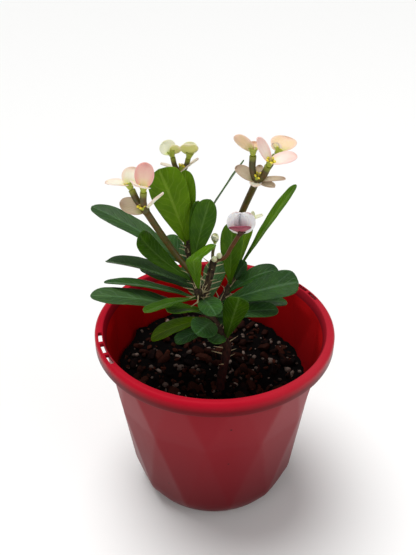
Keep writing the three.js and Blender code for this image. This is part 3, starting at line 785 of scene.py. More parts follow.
BUDS = {"front_flower_stalk": [(-0.5, -4.4, 163.2), (2.2, -4.4, 165.3)]}
BUD_RADIUS = 1.7
FORK_SCALE = 0.95        # a fork's radius, in radii of its stalk
KNUCKLE_SCALE = 1.4      # and the knuckle's
STALK_FLARE = 1.1        # how many times thicker a stalk is at its far end,
FORK_FLARE = 1.12        # and a fork
STALK_VOXEL = 0.32 * MM
STALK_SMOOTHING = 5
FRESH_LENGTH = 3.5 * MM  # how far down from a tip the stalk is still fresh


def mark_youth(skin, tips):
    """Writes the attribute that the stalk's colour follows."""
    youth = skin.data.attributes.new("youth", "FLOAT", "POINT")
    for point in skin.data.vertices:
        near = min([(point.co - tip).length for tip in tips], default=1)
        youth.data[point.index].value = max(0.0, 1 - near / FRESH_LENGTH) ** 0.8


def bud(place):
    """A round pale bud with a pinched tip, tilted a little to the front."""
    deselect()
    bpy.ops.mesh.primitive_uv_sphere_add(segments=20, ring_count=12, radius=BUD_RADIUS * MM)
    ball = bpy.context.object
    edit(ball)
    pick(lambda co: co.z > 0.98 * BUD_RADIUS * MM)
    shift((0, 0, 0.3 * MM))
    bpy.ops.mesh.select_all(action="SELECT")
    turn("X", 30)
    shift(Vector(place) * MM)
    deselect()
    ball.data.materials.append(BUD_SKIN)
    return smooth(ball)


for node, (radius, lines) in STALKS.items():
    tubes = [stem(lines[0], radius, STALK_FLARE)]
    tubes += [stem(line, radius * FORK_SCALE, FORK_FLARE) for line in lines[1:]]
    if len(lines) > 1:
        tubes.append(knob(lines[0][-1], radius * KNUCKLE_SCALE))
    stalk = fuse(tubes, node + "_skin", STALK_VOXEL, STALK_SMOOTHING)
    stalk.data.materials.clear()
    stalk.data.materials.append(RED_STALK if node.startswith("front") else OLIVE_STALK)
    fresh = [] if node.startswith("front") else lines[1:] or lines
    mark_youth(stalk, [Vector(line[-1]) * MM for line in fresh])
    if node in BUDS:
        stalk = join([stalk] + [bud(place) for place in BUDS[node]], stalk.name)
    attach(stalk, "root")
    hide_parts(node)
    print(node, len(stalk.data.polygons), "faces")

# %% [markdown]
# ## Bract materials
#
# The showy parts of a flower are its two bracts: thin, soft and translucent, cream with a
# green-yellow foot and pink margins. On unopened flowers they are still lime, on old ones they
# fade to beige, and a withered one dries crimson. The UV map gives how far a point is from the
# foot and from the margin, so the pink follows the edge, and a little noise lets it come and go.
# Fine ribs run along each bract.

# %% Make the bract skins
PINK_FULL = 0.62         # the margin's colour is full from here out
PINK_DRIFT = 0.2         # how far noise moves it
FOOT_FULL = 0.05         # the foot's colour is full up to here, and
FOOT_END = 0.42          # ends here, in shares of the bract's length
RIB_PHASE = 60.0         # radians from one side to the other: nine or ten ribs


def bract_skin(name, middle, foot, margin, pink, clear):
    """Thin bract tissue.

    `pink` is how far in the margin's colour reaches, and `clear` how much light comes through.
    """
    material, shader = new_material(
        name, middle, 0.5, Subsurface_Weight=clear, Subsurface_Scale=1 * MM,
        Subsurface_Radius=(1.0, 0.9, 0.8), Sheen_Weight=0.15, Sheen_Roughness=0.5)
    coords = add(material, "ShaderNodeTexCoord")
    uv = add(material, "ShaderNodeSeparateXYZ", links={0: coords.outputs["UV"]})
    off = add(material, "ShaderNodeMath", {"operation": "SUBTRACT", 1: 0.5}, {0: uv.outputs["X"]})
    side = add(material, "ShaderNodeMath", {"operation": "ABSOLUTE"}, {0: off})
    ahead = add(material, "ShaderNodeMath", {"operation": "MULTIPLY", 1: 0.5},
                {0: uv.outputs["Y"]})
    edge = add(material, "ShaderNodeMath", {"operation": "MAXIMUM"}, {0: side, 1: ahead})
    blush = add(material, "ShaderNodeTexNoise", {"Scale": 1 / (5 * MM), "Detail": 2.0},
                {"Vector": coords.outputs["Object"]})
    reach = add(material, "ShaderNodeMath", {"operation": "MULTIPLY_ADD", 1: PINK_DRIFT},
                {0: blush.outputs["Fac"], 2: edge})
    rosy = add(material, "ShaderNodeMapRange",
               {"From Min": PINK_FULL - pink, "From Max": PINK_FULL}, {"Value": reach})
    green = add(material, "ShaderNodeMapRange",
                {"From Min": FOOT_FULL, "From Max": FOOT_END, "To Min": 1.0, "To Max": 0.0},
                {"Value": uv.outputs["Y"]})
    base = add(material, "ShaderNodeMix",
               {"data_type": "RGBA", 6: linear(middle), 7: linear(foot)}, {0: green})
    whole = add(material, "ShaderNodeMix", {"data_type": "RGBA", 7: linear(margin)},
                {0: rosy, 6: base.outputs[2]})
    ribs = add(material, "ShaderNodeMath", {"operation": "MULTIPLY", 1: RIB_PHASE},
               {0: uv.outputs["X"]})
    fine = add(material, "ShaderNodeMath", {"operation": "SINE"}, {0: ribs})
    return surface(material, shader, whole.outputs[2], fine, 0.15, 0.2 * MM)


BRACT_SKINS = {
    "cream": bract_skin("cream_bract", "#FFF3DC", "#E4E48C", "#FCD8C8", 0.2, 0.6),
    "peach": bract_skin("peach_bract", "#F0D2AA", "#C8C86C", "#F6CCBC", 0.2, 0.6),
    "pink": bract_skin("pink_bract", "#F8D8C8", "#EADCA8", "#F0ACA8", 0.34, 0.6),
    "blush": bract_skin("blush_bract", "#FFE6DA", "#F4E4C0", "#F8C8C0", 0.34, 0.6),
    # painted light: the lime bracts' middle is set near white, lighter than their own lime, for
    # the glow of bracts that face away from the sun
    "lime": bract_skin("lime_bract_with_painted_glow", "#FFFFDC", "#D6E670", "#FAFAD8", 0.15, 0.6),
    "olive": bract_skin("olive_bract", "#DAD88A", "#A8B040", "#EEDCC0", 0.12, 0.6),
    "old": bract_skin("fading_bract", "#CABA9E", "#A0A458", "#B89C88", 0.16, 0.5),
    "white": bract_skin("white_bract", "#FFFFFF", "#F6F8E4", "#C4A8A8", 0.05, 0.8),
    "dried": bract_skin("dried_bract", "#B8566C", "#A8603A", "#8A2E46", 0.3, 0.15),
}
print("bract skins:", ", ".join(BRACT_SKINS))

# %% [markdown]
# ## The heart of a flower
#
# Between the bracts stands the true flower: a green cup a few millimetres wide, with five
# fleshy yellow glands round its mouth and a tuft of stamens. Three hearts are modelled, and
# copied for the blooms: a closed one is only the cup, a flared cone whose top is inset and
# pushed in. A narrow one adds five small flattened balls, and an open one has larger balls and
# nine thin pegs with knobbed tops.

# %% Make cup, gland and stamen materials
CUP_SKIN = soft_skin("cup_skin", "#8FA226", "#B7BE48", 0.45, 1.2)
WITHERED_CUP = soft_skin("withered_cup", "#2E180C", "#54351C", 0.7, 0.8)
GLAND_WAX = soft_skin("gland_wax", "#E8CC10", "#F8EC48", 0.3, 0.8)
STAMEN_TISSUE = soft_skin("stamen_tissue", "#F0E890", "#C8A030", 0.6, 0.7)
print("heart materials ready")


# %% Model the heart
CUP = dict(foot=1.3, mouth=2.3, height=3.8, lip=0.5, hollow=1.2)          # millimetres
GLAND = dict(out=2.0, up=3.9, tilt=-20)          # from the axis and the foot, and its tilt
STAMEN = dict(radius=0.1, length=2.4, up=2.0)
GLANDS = 5
LEANS = (12, 26)         # how far one stamen leans out, and the next, in degrees


def flower_cup():
    """A small flared cup with a hollow mouth."""
    deselect()
    bpy.ops.mesh.primitive_cone_add(vertices=20, radius1=CUP["foot"] * MM,
                                    radius2=CUP["mouth"] * MM, depth=CUP["height"] * MM,
                                    location=(0, 0, CUP["height"] / 2 * MM))
    bpy.ops.object.transform_apply()
    cup = bpy.context.object
    edit(cup)
    pick(lambda co: co.z > 0.95 * CUP["height"] * MM)
    bpy.ops.mesh.inset(thickness=CUP["lip"] * MM, depth=0)
    bpy.ops.mesh.extrude_region_move(
        TRANSFORM_OT_translate={"value": (0, 0, -CUP["hollow"] * MM)})
    stretch((0.6, 0.6, 1))
    deselect()
    modify(cup, "BEVEL", width=0.25 * MM, segments=2)
    cup.data.materials.append(CUP_SKIN)
    return smooth(cup, 50)


def gland(angle, radius):
    """A fleshy yellow lobe at the edge of the cup's mouth."""
    deselect()
    bpy.ops.mesh.primitive_uv_sphere_add(segments=10, ring_count=7, radius=radius)
    lobe = bpy.context.object
    edit(lobe)
    stretch((1.0, 1.2, 0.6))
    turn("Y", GLAND["tilt"])
    shift((GLAND["out"] * MM, 0, GLAND["up"] * MM))
    turn("Z", angle)
    deselect()
    lobe.data.materials.append(GLAND_WAX)
    return smooth(lobe)


def stamen(angle, lean):
    """A thin peg with a knobbed top, which leans out of the cup."""
    deselect()
    bpy.ops.mesh.primitive_cylinder_add(vertices=6, radius=STAMEN["radius"] * MM,
                                        depth=STAMEN["length"] * MM,
                                        location=(0, 0, STAMEN["length"] / 2 * MM))
    bpy.ops.object.transform_apply()
    peg = bpy.context.object
    edit(peg)
    pick(lambda co: co.z > 0.9 * STAMEN["length"] * MM)
    for rise, width in ((0.25, 2.6), (0.3, 0.5)):
        bpy.ops.mesh.extrude_region_move(TRANSFORM_OT_translate={"value": (0, 0, rise * MM)})
        stretch((width, width, 1))
    bpy.ops.mesh.select_all(action="SELECT")
    turn("Y", lean)
    turn("Z", angle)
    shift((0, 0, STAMEN["up"] * MM))
    deselect()
    peg.data.materials.append(STAMEN_TISSUE)
    return smooth(peg, 40)


def heart(name, gland_radius=None, stamens=0):
    """A cup, with its glands if they have a radius, and with so many stamens."""
    parts = [flower_cup()]
    if gland_radius:
        parts += [gland(360 * k / GLANDS, gland_radius) for k in range(GLANDS)]
    parts += [stamen(360 * k / stamens, LEANS[k % 2]) for k in range(stamens)]
    return pattern(join(parts, name), name)


HEARTS = {
    "closed": heart("closed_heart"),
    "narrow": heart("narrow_heart", gland_radius=0.45 * MM),
    "open": heart("open_heart", gland_radius=0.85 * MM, stamens=9),
}
print("hearts:", {kind: len(model.data.polygons) for kind, model in HEARTS.items()}, "faces")

# %% [markdown]
# ## The blooms
#
# A bloom is a heart at a stalk's end with bracts that grow from its middle. At a fork the heart
# stands between the forks, and its old bracts spread from the knuckle. A bloom stands on the
# stalk that shares its first word. Its row says which line of that stalk ends in it, and for
# each bract its azimuth, rise, length, width, arch and roll, as for a leaf, and its colour.

# %% The blooms, one by one
BLOOMS = {
    "left_bloom_1": (0, [(183, 20, 13.6, 8.8, 10, -55, "old"),
                         (-2, 46, 14, 7, 6, -19, "cream")]),
    "left_bloom_2": (1, [(178, 5, 12.5, 12.5, 10, 11, "cream"),
                         (70, 48, 9.8, 10.5, 20, 0, "cream")]),
    "left_bloom_3": (2, [(70, 70, 12.8, 10.2, 10, 10, "pink"),
                         (-110, 31, 10, 11.5, 10, -10, "cream")]),
    "top_bloom_1": (0, [(182, 25, 12.6, 9, 15, 16, "cream"),
                        (0, 40, 13, 7, 10, -14, "cream")]),
    "top_bloom_2": (1, [(158, 50, 7.8, 9.5, 20, -45, "lime"),
                        (-10, 38, 6, 7, 25, -60, "olive")]),
    "top_bloom_3": (2, [(-90, 70, 7.3, 10.3, 15, 0, "olive"),
                        (80, 55, 7.2, 9, 15, 0, "lime")]),
    "right_bloom_1": (0, [(163, 27, 13.5, 8.5, 10, -20, "old"),
                          (70, 45, 9, 5, 10, 0, "old"),
                          (-6, 7, 15.5, 4.5, 10, 10, "old"),
                          (-100, -5, 6, 6.5, 10, 0, "cream"),
                          (-30, -5, 11, 5.5, 10, 10, "old")]),
    "right_bloom_2": (1, [(163, 33, 12.5, 8.4, 10, 70, "peach"),
                          (75, 42, 5.5, 7, 10, 0, "peach")]),
    "right_bloom_3": (2, [(163, 61, 14.8, 6.5, 10, -34, "blush"),
                          (2, 13, 14.5, 10.5, 10, 12, "blush")]),
    "right_bloom_4": (3, [(58, 19, 12, 14.5, 15, 5, "peach"),
                          (110, 20, 6, 6, 10, 0, "peach")]),
    "right_bloom_5": (4, [(90, 80, 5, 2.5, 10, 0, "lime"),
                          (0, 25, 6.5, 3, 10, 10, "lime")]),
    "young_bloom": (0, [(60, 75, 5, 5, 15, 0, "lime"),
                        (-120, 70, 4.5, 4.5, 10, 0, "lime")]),
    "front_bloom": (0, [(174, 71, 12.4, 11, 8, -80, "white"),
                        (7, 70, 12.2, 11, 8, 77, "white"),
                        (-103, 48, 7.8, 12, 10, 10, "dried")]),
}
CLOSED = ("top_bloom_2", "top_bloom_3", "right_bloom_2", "right_bloom_5", "young_bloom",
          "front_bloom")
NARROW = ("left_bloom_2", "left_bloom_3", "right_bloom_4")
SMALL_HEARTS = {"right_bloom_5": 0.45, "young_bloom": 0.6}
BRACT_FOLD = 4
BRACT_THICKNESS = 0.45 * MM
BRACT_WAVES = 1.2 * MM
HEART_GAP = 0.2 * MM             # how far above a stalk's end its heart starts
BRACT_HEIGHT = 2.2 * MM          # and its bracts, where the stalk doesn't fork there

for node, (number, bracts) in BLOOMS.items():
    lines = STALKS[node.split("_")[0] + "_flower_stalk"][1]
    top, up = along(lines[number], 1)
    forked = number == 0 and len(lines) > 1
    size = SMALL_HEARTS.get(node, 1)
    parts = []
    for azimuth, rise, length, width, arch, roll, skin in bracts:
        at = top + up * (0 if forked else BRACT_HEIGHT * size)
        row = (azimuth, rise, length, width, arch, roll, BRACT_FOLD)
        bract = grow("bract", BRACT_BLADE, at, row, BRACT_THICKNESS, BRACT_WAVES)
        bract.data.materials.append(BRACT_SKINS[skin])
        bract.data.materials.append(BRACT_SKINS[skin])
        parts.append(bract)
    kind = "closed" if node in CLOSED else "narrow" if node in NARROW else "open"
    middle = copy_of(HEARTS[kind], "heart_copy")
    spin = up.to_track_quat("Z", "X").to_matrix().to_4x4()
    middle.data.transform(Matrix.Translation(top + up * HEART_GAP) @ spin
                          @ Matrix.Scale(size, 4))
    if node == "front_bloom":
        middle.data.materials[0] = WITHERED_CUP
    bloom = join([middle] + parts, node + "_open")
    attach(bloom, "root")
    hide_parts(node)
print("blooms open:", len(BLOOMS))

# %% [markdown]
# ## The pot
#
# The pot is injection-moulded polypropylene: one wall of 1.5 mm, with a rolled rim and a belt of
# soft facets. A potter would throw it, and so does the Spin operator: a profile of points is
# drawn by extruding one point along it, and is spun once round. The facets are then pressed
# into the wall: each level cut of it is a polygon whose 24 corners part and meet again on the
# way up, so long flat triangles stand on each other's points. Above them the wall is round.

# %% Draw the pot's profile
POT = dict(height=117, rim_radius=70, rim_depth=8.5, rim_inner=65, wall=1.5, neck=112, cone=50.3,
           slope=0.13, heel_in=14.7, heel_up=25, floor=2, hub=9)
RIM = dict(thick=2.4, hollow=0.8, shoulder=2.2, lip=1)       # thickness and radii of its rounds
FACETS = dict(count=12, turn=-3.4, top=107, middle=72, foot=15, half=11)
ROUND_BELOW = 6          # under this height the wall has no facets
FOOT_RINGS, HEEL_RINGS, WALL_RINGS = 6, 12, 46       # points of the profile on each part


def cone_at(z):
    """The radius of the plain cone that the wall follows."""
    return POT["cone"] + POT["slope"] * z


def heel_at(z):
    """The wall's radius low down, where it rounds into the underside."""
    up = 1 - min(z, POT["heel_up"]) / POT["heel_up"]
    return cone_at(z) - POT["heel_in"] * (1 - math.sqrt(1 - up * up))


def arc(centre, radius, start, end, count=5):
    """Points on a round corner of the profile, angles in degrees from outward."""
    angles = [math.radians(start + (end - start) * k / (count - 1)) for k in range(count)]
    return [(centre[0] + radius * math.cos(a), centre[1] + radius * math.sin(a)) for a in angles]


def pot_profile():
    """Radius and height of each point, from the underside round the rim to the floor."""
    height, rim, inner, wall = POT["height"], POT["rim_radius"], POT["rim_inner"], POT["wall"]
    foot, roof = height - POT["rim_depth"], height - RIM["thick"]
    hollow, shoulder, lip = RIM["hollow"], RIM["shoulder"], RIM["lip"]
    heel = [POT["heel_up"] * (k / HEEL_RINGS) ** 2 for k in range(HEEL_RINGS + 1)]
    levels = [POT["heel_up"] + (POT["neck"] - POT["heel_up"]) * k / WALL_RINGS
              for k in range(1, WALL_RINGS + 1)]
    outside = [(k * heel_at(0) / FOOT_RINGS, 0) for k in range(FOOT_RINGS)]
    outside += [(heel_at(z), z) for z in heel + levels]
    rolled = ([(inner + 0.6, roof)] + arc((rim - wall - hollow, roof - hollow), hollow, 90, 0)
              + arc((rim - wall / 2, foot + 0.5), wall / 2, 180, 360)
              + arc((rim - shoulder, height - shoulder), shoulder, 0, 90)
              + arc((inner + lip, height - lip), lip, 90, 180))
    inside = [(radius - wall, max(z, POT["floor"])) for radius, z in reversed(outside)
              if radius > POT["hub"]]
    return outside + rolled + inside + [(0, POT["floor"])]


print("pot profile:", len(pot_profile()), "points")


# %% Spin the pot
def spun(profile, steps, name):
    """A closed round body from a profile that starts and ends on the axis."""
    deselect()
    bpy.ops.mesh.primitive_plane_add(size=1 * MM)
    body = bpy.context.object
    edit(body)
    bpy.ops.mesh.merge(type="CENTER")
    here = Vector((0, 0, 0))
    for radius, z in profile:
        there = Vector((radius, 0, z)) * MM
        bpy.ops.mesh.extrude_region_move(TRANSFORM_OT_translate={"value": there - here})
        here = there
    bpy.ops.mesh.select_all(action="SELECT")
    bpy.ops.mesh.remove_doubles(threshold=0.01 * MM)
    bpy.ops.mesh.select_all(action="SELECT")
    bpy.ops.mesh.spin(steps=steps, angle=2 * math.pi, center=(0, 0, 0), axis=(0, 0, 1))
    bpy.ops.mesh.select_all(action="SELECT")
    bpy.ops.mesh.remove_doubles(threshold=0.01 * MM)
    bpy.ops.mesh.normals_make_consistent(inside=False)
    deselect()
    body.name = name
    return body


def spoke(degrees, length):
    """A point at an angle from the middle of a facet, so far from the axis."""
    angle = math.radians(degrees)
    return Vector((math.cos(angle), math.sin(angle))) * length


def wall_radius(azimuth, z):
    """Distance in mm from the axis to the faceted wall; azimuth in degrees from the front."""
    step = 360 / FACETS["count"]
    across = abs((azimuth - FACETS["turn"] + step / 2) % step - step / 2)
    foot, middle, top = FACETS["foot"], FACETS["middle"], FACETS["top"]
    z_in = min(max(z, foot), top)
    if z_in < middle:
        low, low_turn, t = heel_at(foot), step / 2, (z_in - foot) / (middle - foot)
        high, high_turn = cone_at(middle), 0
    else:
        low, low_turn, t = cone_at(middle), 0, (z_in - middle) / (top - middle)
        high, high_turn = cone_at(top), FACETS["half"]
    corner = spoke(low_turn, low) * (1 - t) + spoke(high_turn, high) * t
    near = corner.x / math.cos(math.radians(across))
    far = corner.dot(spoke(step / 2, 1)) / math.cos(math.radians(step / 2 - across))
    flat = min(near, far)
    if z > top:
        share = min(1, (z - top) / (POT["neck"] - top))
        return flat + cone_at(z) - cone_at(top) + (cone_at(top) - flat) * share
    if z < foot:
        share = max(0, z - ROUND_BELOW) / (foot - ROUND_BELOW)
        return heel_at(z) + (flat - heel_at(foot)) * share
    return flat


def press_facets(pot):
    """Moves the wall, outside and inside, in to its flat facets."""
    for point in pot.data.vertices:
        z = point.co.z / MM
        radius = math.hypot(point.co.x, point.co.y) / MM
        inset = heel_at(z) - radius
        outside, inside = abs(inset) < 0.05, abs(inset - POT["wall"]) < 0.3
        if ROUND_BELOW < z < POT["neck"] and (outside or inside):
            azimuth = math.degrees(math.atan2(point.co.x, -point.co.y))
            scale = (wall_radius(azimuth, z) - inset) / radius
            point.co.x *= scale
            point.co.y *= scale


SPIN_STEPS = 240
pot = spun(pot_profile(), SPIN_STEPS, "pot_moulding")
press_facets(pot)
print("pot spun:", len(pot.data.polygons), "faces")

# %% [markdown]
# The rim has two groups of three slots for a hanger's clips, and the floor has drain holes.
# Each is cut by a Boolean with a plain block or rod, which is then removed.

# %% Cut the slots and holes
SLOTS = dict(radius=66.9, width=2.2, length=8.6, block=8, middles=(202.2, 34.6), spans=(-9, 0, 9))
DRAIN = dict(count=6, radius=3, at=27, rod=12)


def slot_cutter(azimuth):
    """A block that stands in the rim where one slot is cut."""
    deselect()
    bpy.ops.mesh.primitive_cube_add(size=1)
    block = bpy.context.object
    edit(block)
    stretch((SLOTS["width"] * MM, SLOTS["length"] * MM, SLOTS["block"] * MM))
    shift((SLOTS["radius"] * MM, 0, POT["height"] * MM))
    turn("Z", azimuth)
    deselect()
    return block


def drain_cutter(azimuth):
    """A rod that stands in the floor where one drain hole is cut."""
    deselect()
    bpy.ops.mesh.primitive_cylinder_add(vertices=32, radius=DRAIN["radius"] * MM,
                                        depth=DRAIN["rod"] * MM)
    rod = bpy.context.object
    edit(rod)
    shift((DRAIN["at"] * MM, 0, 0))
    turn("Z", azimuth)
    deselect()
    return rod


cutters = [slot_cutter(middle + span) for middle in SLOTS["middles"] for span in SLOTS["spans"]]
cutters += [drain_cutter((k + 0.5) * 360 / DRAIN["count"]) for k in range(DRAIN["count"])]
cutter = join(cutters, "cutters")
modify(pot, "BOOLEAN", operation="DIFFERENCE", solver="EXACT", object=cutter)
bpy.data.objects.remove(cutter)
smooth(pot, 32)          # facets, slots and holes keep their sharp edges
print("pot cut:", len(pot.data.polygons), "faces")

# %% [markdown]
# ## The pot's plastic
#
# Polypropylene has a soft gloss, with an IOR near 1.49. The rim is clean and deep red. The wall
# outside carries a film of dried water and dust: it greys and pinks the red, more in some
# patches and most at the right, and dulls the gloss. A few specks of soil stick to it. Each
# finish carries painted shade, darker downward, where the real pot turns away from the light,
# and a red tint on the gloss keeps it from turning milky. One function makes the three finishes,
# and faces take theirs by their place.

# %% Make the plastic
FILM_PATCH = 28 * MM     # size of the film's patches
FILM_LEAST = 0.55        # how thick it is between them, in shares of its full thickness
FILM_THIN = 10 * MM      # up to here along X it has that thickness, and
FILM_THICK = 55 * MM     # from here it is FILM_GAIN times as thick
FILM_GAIN = 4.0
SPECK_CELL = 5 * MM      # each cell of this size has room for one speck
SPECK_RADIUS = 0.13      # of a speck, in cells
DULLING = 0.15           # what the film adds to the roughness


def red_plastic(name, red, roughness, film, film_colour, specks, shade, low, high):
    """Moulded polypropylene with a film of dust, `film` thick, and some specks.

    `specks` is the share of cells with a speck. `shade` is painted shade: the red is darkened by
    it from a height of `high` millimetres down to `low`.
    """
    material, shader = new_material(name, red, roughness, IOR=1.49, Specular_IOR_Level=0.13,
                                    Specular_Tint=linear("#FF5060"))
    coords = add(material, "ShaderNodeTexCoord")
    tall = add(material, "ShaderNodeMapping", {"Scale": (1, 1, 0.4)},
               {"Vector": coords.outputs["Object"]})
    clouds = add(material, "ShaderNodeTexNoise", {"Scale": 1 / FILM_PATCH, "Detail": 6.0},
                 {"Vector": tall})
    cloud = add(material, "ShaderNodeMapRange",
                {"From Min": 0.3, "From Max": 0.75, "To Min": FILM_LEAST * film, "To Max": film},
                {"Value": clouds.outputs["Fac"]})
    place = add(material, "ShaderNodeSeparateXYZ", links={0: coords.outputs["Object"]})
    thick = add(material, "ShaderNodeMapRange",
                {"From Min": FILM_THIN, "From Max": FILM_THICK, "To Min": 1.0,
                 "To Max": FILM_GAIN}, {"Value": place.outputs["X"]})
    dust = add(material, "ShaderNodeMath", {"operation": "MULTIPLY"}, {0: cloud, 1: thick})
    dusty = add(material, "ShaderNodeMix",
                {"data_type": "RGBA", 6: linear(red), 7: linear(film_colour)}, {0: dust})
    dots = add(material, "ShaderNodeTexVoronoi", {"Scale": 1 / SPECK_CELL},
               {"Vector": coords.outputs["Object"]})
    near = add(material, "ShaderNodeMath", {"operation": "LESS_THAN", 1: SPECK_RADIUS},
               {0: dots.outputs["Distance"]})
    chosen = add(material, "ShaderNodeMath", {"operation": "GREATER_THAN", 1: 1 - specks},
                 {0: dots.outputs["Color"]})
    speck = add(material, "ShaderNodeMath", {"operation": "MULTIPLY"}, {0: near, 1: chosen})
    speckled = add(material, "ShaderNodeMix", {"data_type": "RGBA", 7: linear("#3A1214")},
                   {0: speck, 6: dusty.outputs[2]})
    # painted shade: the colour darkens towards #3C0408 from `high` down to `low`, where less light
    # falls
    depth = add(material, "ShaderNodeMapRange",
                {"From Min": low * MM, "From Max": high * MM, "To Min": shade, "To Max": 0.0},
                {"Value": place.outputs["Z"]})
    painted_shade_red = add(material, "ShaderNodeMix", {"data_type": "RGBA", 7: linear("#3C0408")},
                 {0: depth, 6: speckled.outputs[2]})
    dull = add(material, "ShaderNodeMapRange",
               {"From Min": 0.3, "From Max": 0.75, "To Min": roughness,
                "To Max": roughness + DULLING}, {"Value": clouds.outputs["Fac"]})
    flow(material, dull, shader, "Roughness")
    skin = add(material, "ShaderNodeTexNoise", {"Scale": 1 / (1.2 * MM), "Detail": 2.0},
               {"Vector": coords.outputs["Object"]})
    return surface(material, shader, painted_shade_red.outputs[2], skin.outputs["Fac"], 0.08, 0.1 * MM)


# shade, low and high give each finish its painted shade: the rim's skirt, the wall's foot and the
# deep inside are darkened
RIM_RED = red_plastic("rim_plastic", "#B40C24", roughness=0.3, film=0.02, film_colour="#D88A92",
                      specks=0.02, shade=0.8, low=111, high=115.5)
WALL_RED = red_plastic("dusty_wall_plastic", "#840818", roughness=0.3, film=0.05,
                       film_colour="#B08084", specks=0.1, shade=0.72, low=5, high=85)
INNER_RED = red_plastic("inner_plastic", "#B80408", roughness=0.42, film=0.02,
                        film_colour="#B05A60", specks=0.05, shade=0.4, low=80, high=108)
print("plastics made")


# %% Give each face its plastic
def place_plastics(pot):
    """Gives each face of the pot its finish, by height in millimetres and by where it faces.

    0 is the rim, 1 the outer wall with the underside, 2 the inside.
    """
    for face in pot.data.polygons:
        z = face.center.z / MM
        outward = face.normal.dot(Vector((face.center.x, face.center.y, 0)).normalized())
        radius = math.hypot(face.center.x, face.center.y) / MM
        if z > POT["neck"] + 0.3 or radius > cone_at(z) + 1:
            face.material_index = 0
        elif outward > 0.2 or z < 0.5:
            face.material_index = 1
        else:
            face.material_index = 2


for plastic in (RIM_RED, WALL_RED, INNER_RED):
    pot.data.materials.append(plastic)
place_plastics(pot)
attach(pot, "root")
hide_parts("pot")
print("plastics placed")

# %% [markdown]
# ## Potting mix materials
#
# The mix is composted bark, wet and nearly black, with red-brown chips, and a little pale
# pinkish gravel. Each chip carries a tint of its own in an attribute, so that one material
# gives a range of browns.

# %% Make bark chips, stones and humus
def crumbs(name, dark, light, roughness, grain):
    """Rough matter from dark to light by each piece's tint, with a grain in millimetres."""
    material, shader = new_material(name, dark, roughness, Specular_IOR_Level=0.06)
    coords = add(material, "ShaderNodeTexCoord")
    tint = add(material, "ShaderNodeAttribute", {"attribute_name": "tint"})
    noise = add(material, "ShaderNodeTexNoise", {"Scale": 1 / (grain * MM), "Detail": 5.0},
                {"Vector": coords.outputs["Object"]})
    mottled = add(material, "ShaderNodeMath", {"operation": "MULTIPLY_ADD", 1: 0.45},
                  {0: noise.outputs["Fac"], 2: tint.outputs["Fac"]})
    share = add(material, "ShaderNodeMapRange", {"From Min": 0.3, "From Max": 1.4},
                {"Value": mottled})
    tone = add(material, "ShaderNodeMix",
               {"data_type": "RGBA", 6: linear(dark), 7: linear(light)}, {0: share})
    return surface(material, shader, tone.outputs[2], noise.outputs["Fac"], 0.9, 0.6 * MM)


HUMUS = crumbs("wet_humus", "#050303", "#140C0A", 0.9, 1.6)
BARK_CHIP = crumbs("bark_chips", "#0A0404", "#4A2418", 0.75, 2.5)
STONE = crumbs("pale_gravel", "#3A302B", "#A89488", 0.7, 1.5)
print("mix materials ready")


# %% Lay the mix
# The mix is drawn as a tub 40 mm in radius. Its top is then widened to 0.2 mm past the face of
# the pot's inner wall, so that no gap shows, and its lower part by a tenth.
MIX = dict(level=80, slope=0.13, bottom=3, drawn=40, spread=1.1, sunk=0.2)
MIX_WALL = 72            # the height at which the wall's reach is measured
MIX_SPLIT = 50           # points above this height are the mix's top
LUMPY_TO = 58            # how far from the axis the top is lumpy
LUMPS = 4 * MM           # the size of its lumps, and their height


def soil_height(x, y):
    """Height of the mix in mm: it rises towards the back left, and is uneven."""
    lumps = 0.9 * math.sin(x / 4.3 + 1) * math.cos(y / 5.1) + 0.6 * math.sin((x + 2 * y) / 5.7)
    return MIX["level"] + MIX["slope"] * (y - x) / math.sqrt(2) + lumps


def wall_inside(x, y):
    """How far the inner wall is from the axis, in mm, in the direction of a place."""
    return wall_radius(math.degrees(math.atan2(x, -y)), MIX_WALL) - POT["wall"]


def mix_body():
    """The mix as one body: a spun tub whose top is widened to the wall and made uneven."""
    tub, level, bottom = MIX["drawn"], MIX["level"], MIX["bottom"]
    body = spun([(0, bottom)] + [(k, bottom) for k in (10, 20, 30)] + [(tub, level)]
                + [(tub - k, level) for k in range(1, tub + 1)], 120, "mix_body")
    for point in body.data.vertices:
        x, y, z = point.co / MM
        if z > MIX_SPLIT:
            reach = (wall_inside(x, y) + MIX["sunk"]) / tub
            x, y = x * reach, y * reach
            z = soil_height(x, y)
        else:
            x, y = x * MIX["spread"], y * MIX["spread"]
        point.co = Vector((x, y, z)) * MM
    fine = bpy.data.textures.new("humus_lumps", "CLOUDS")
    fine.noise_scale = LUMPS
    top = body.vertex_groups.new(name="top")
    inner = [p.index for p in body.data.vertices if p.co.z > MIX_SPLIT * MM and
             math.hypot(p.co.x, p.co.y) < LUMPY_TO * MM]
    top.add(inner, 1, "REPLACE")
    modify(body, "DISPLACE", texture=fine, strength=LUMPS, mid_level=0.5, vertex_group="top")
    body.data.materials.append(HUMUS)
    return smooth(body, 60)


mix = mix_body()
print("mix body:", len(mix.data.polygons), "faces")

# %% [markdown]
# Real chips are torn, so no two are alike. A few are modelled and copied: a chip is a flattened
# cube, cut once each way, with its points shaken and its edges then rounded, and a stone is a
# ball that is shaken less.

# %% Model chips and stones
def chip_pattern(seed):
    """A flat flake of bark, 1 m long, with worn edges."""
    deselect()
    bpy.ops.mesh.primitive_cube_add(size=1)
    flake = bpy.context.object
    edit(flake)
    bpy.ops.mesh.subdivide(number_cuts=1)
    stretch((1, 0.72, 0.4))
    bpy.ops.transform.vertex_random(offset=0.16, seed=seed)
    deselect()
    modify(flake, "SUBSURF", levels=1, render_levels=1)
    flake.data.materials.append(BARK_CHIP)
    return pattern(smooth(flake, 35), f"chip_{seed}")


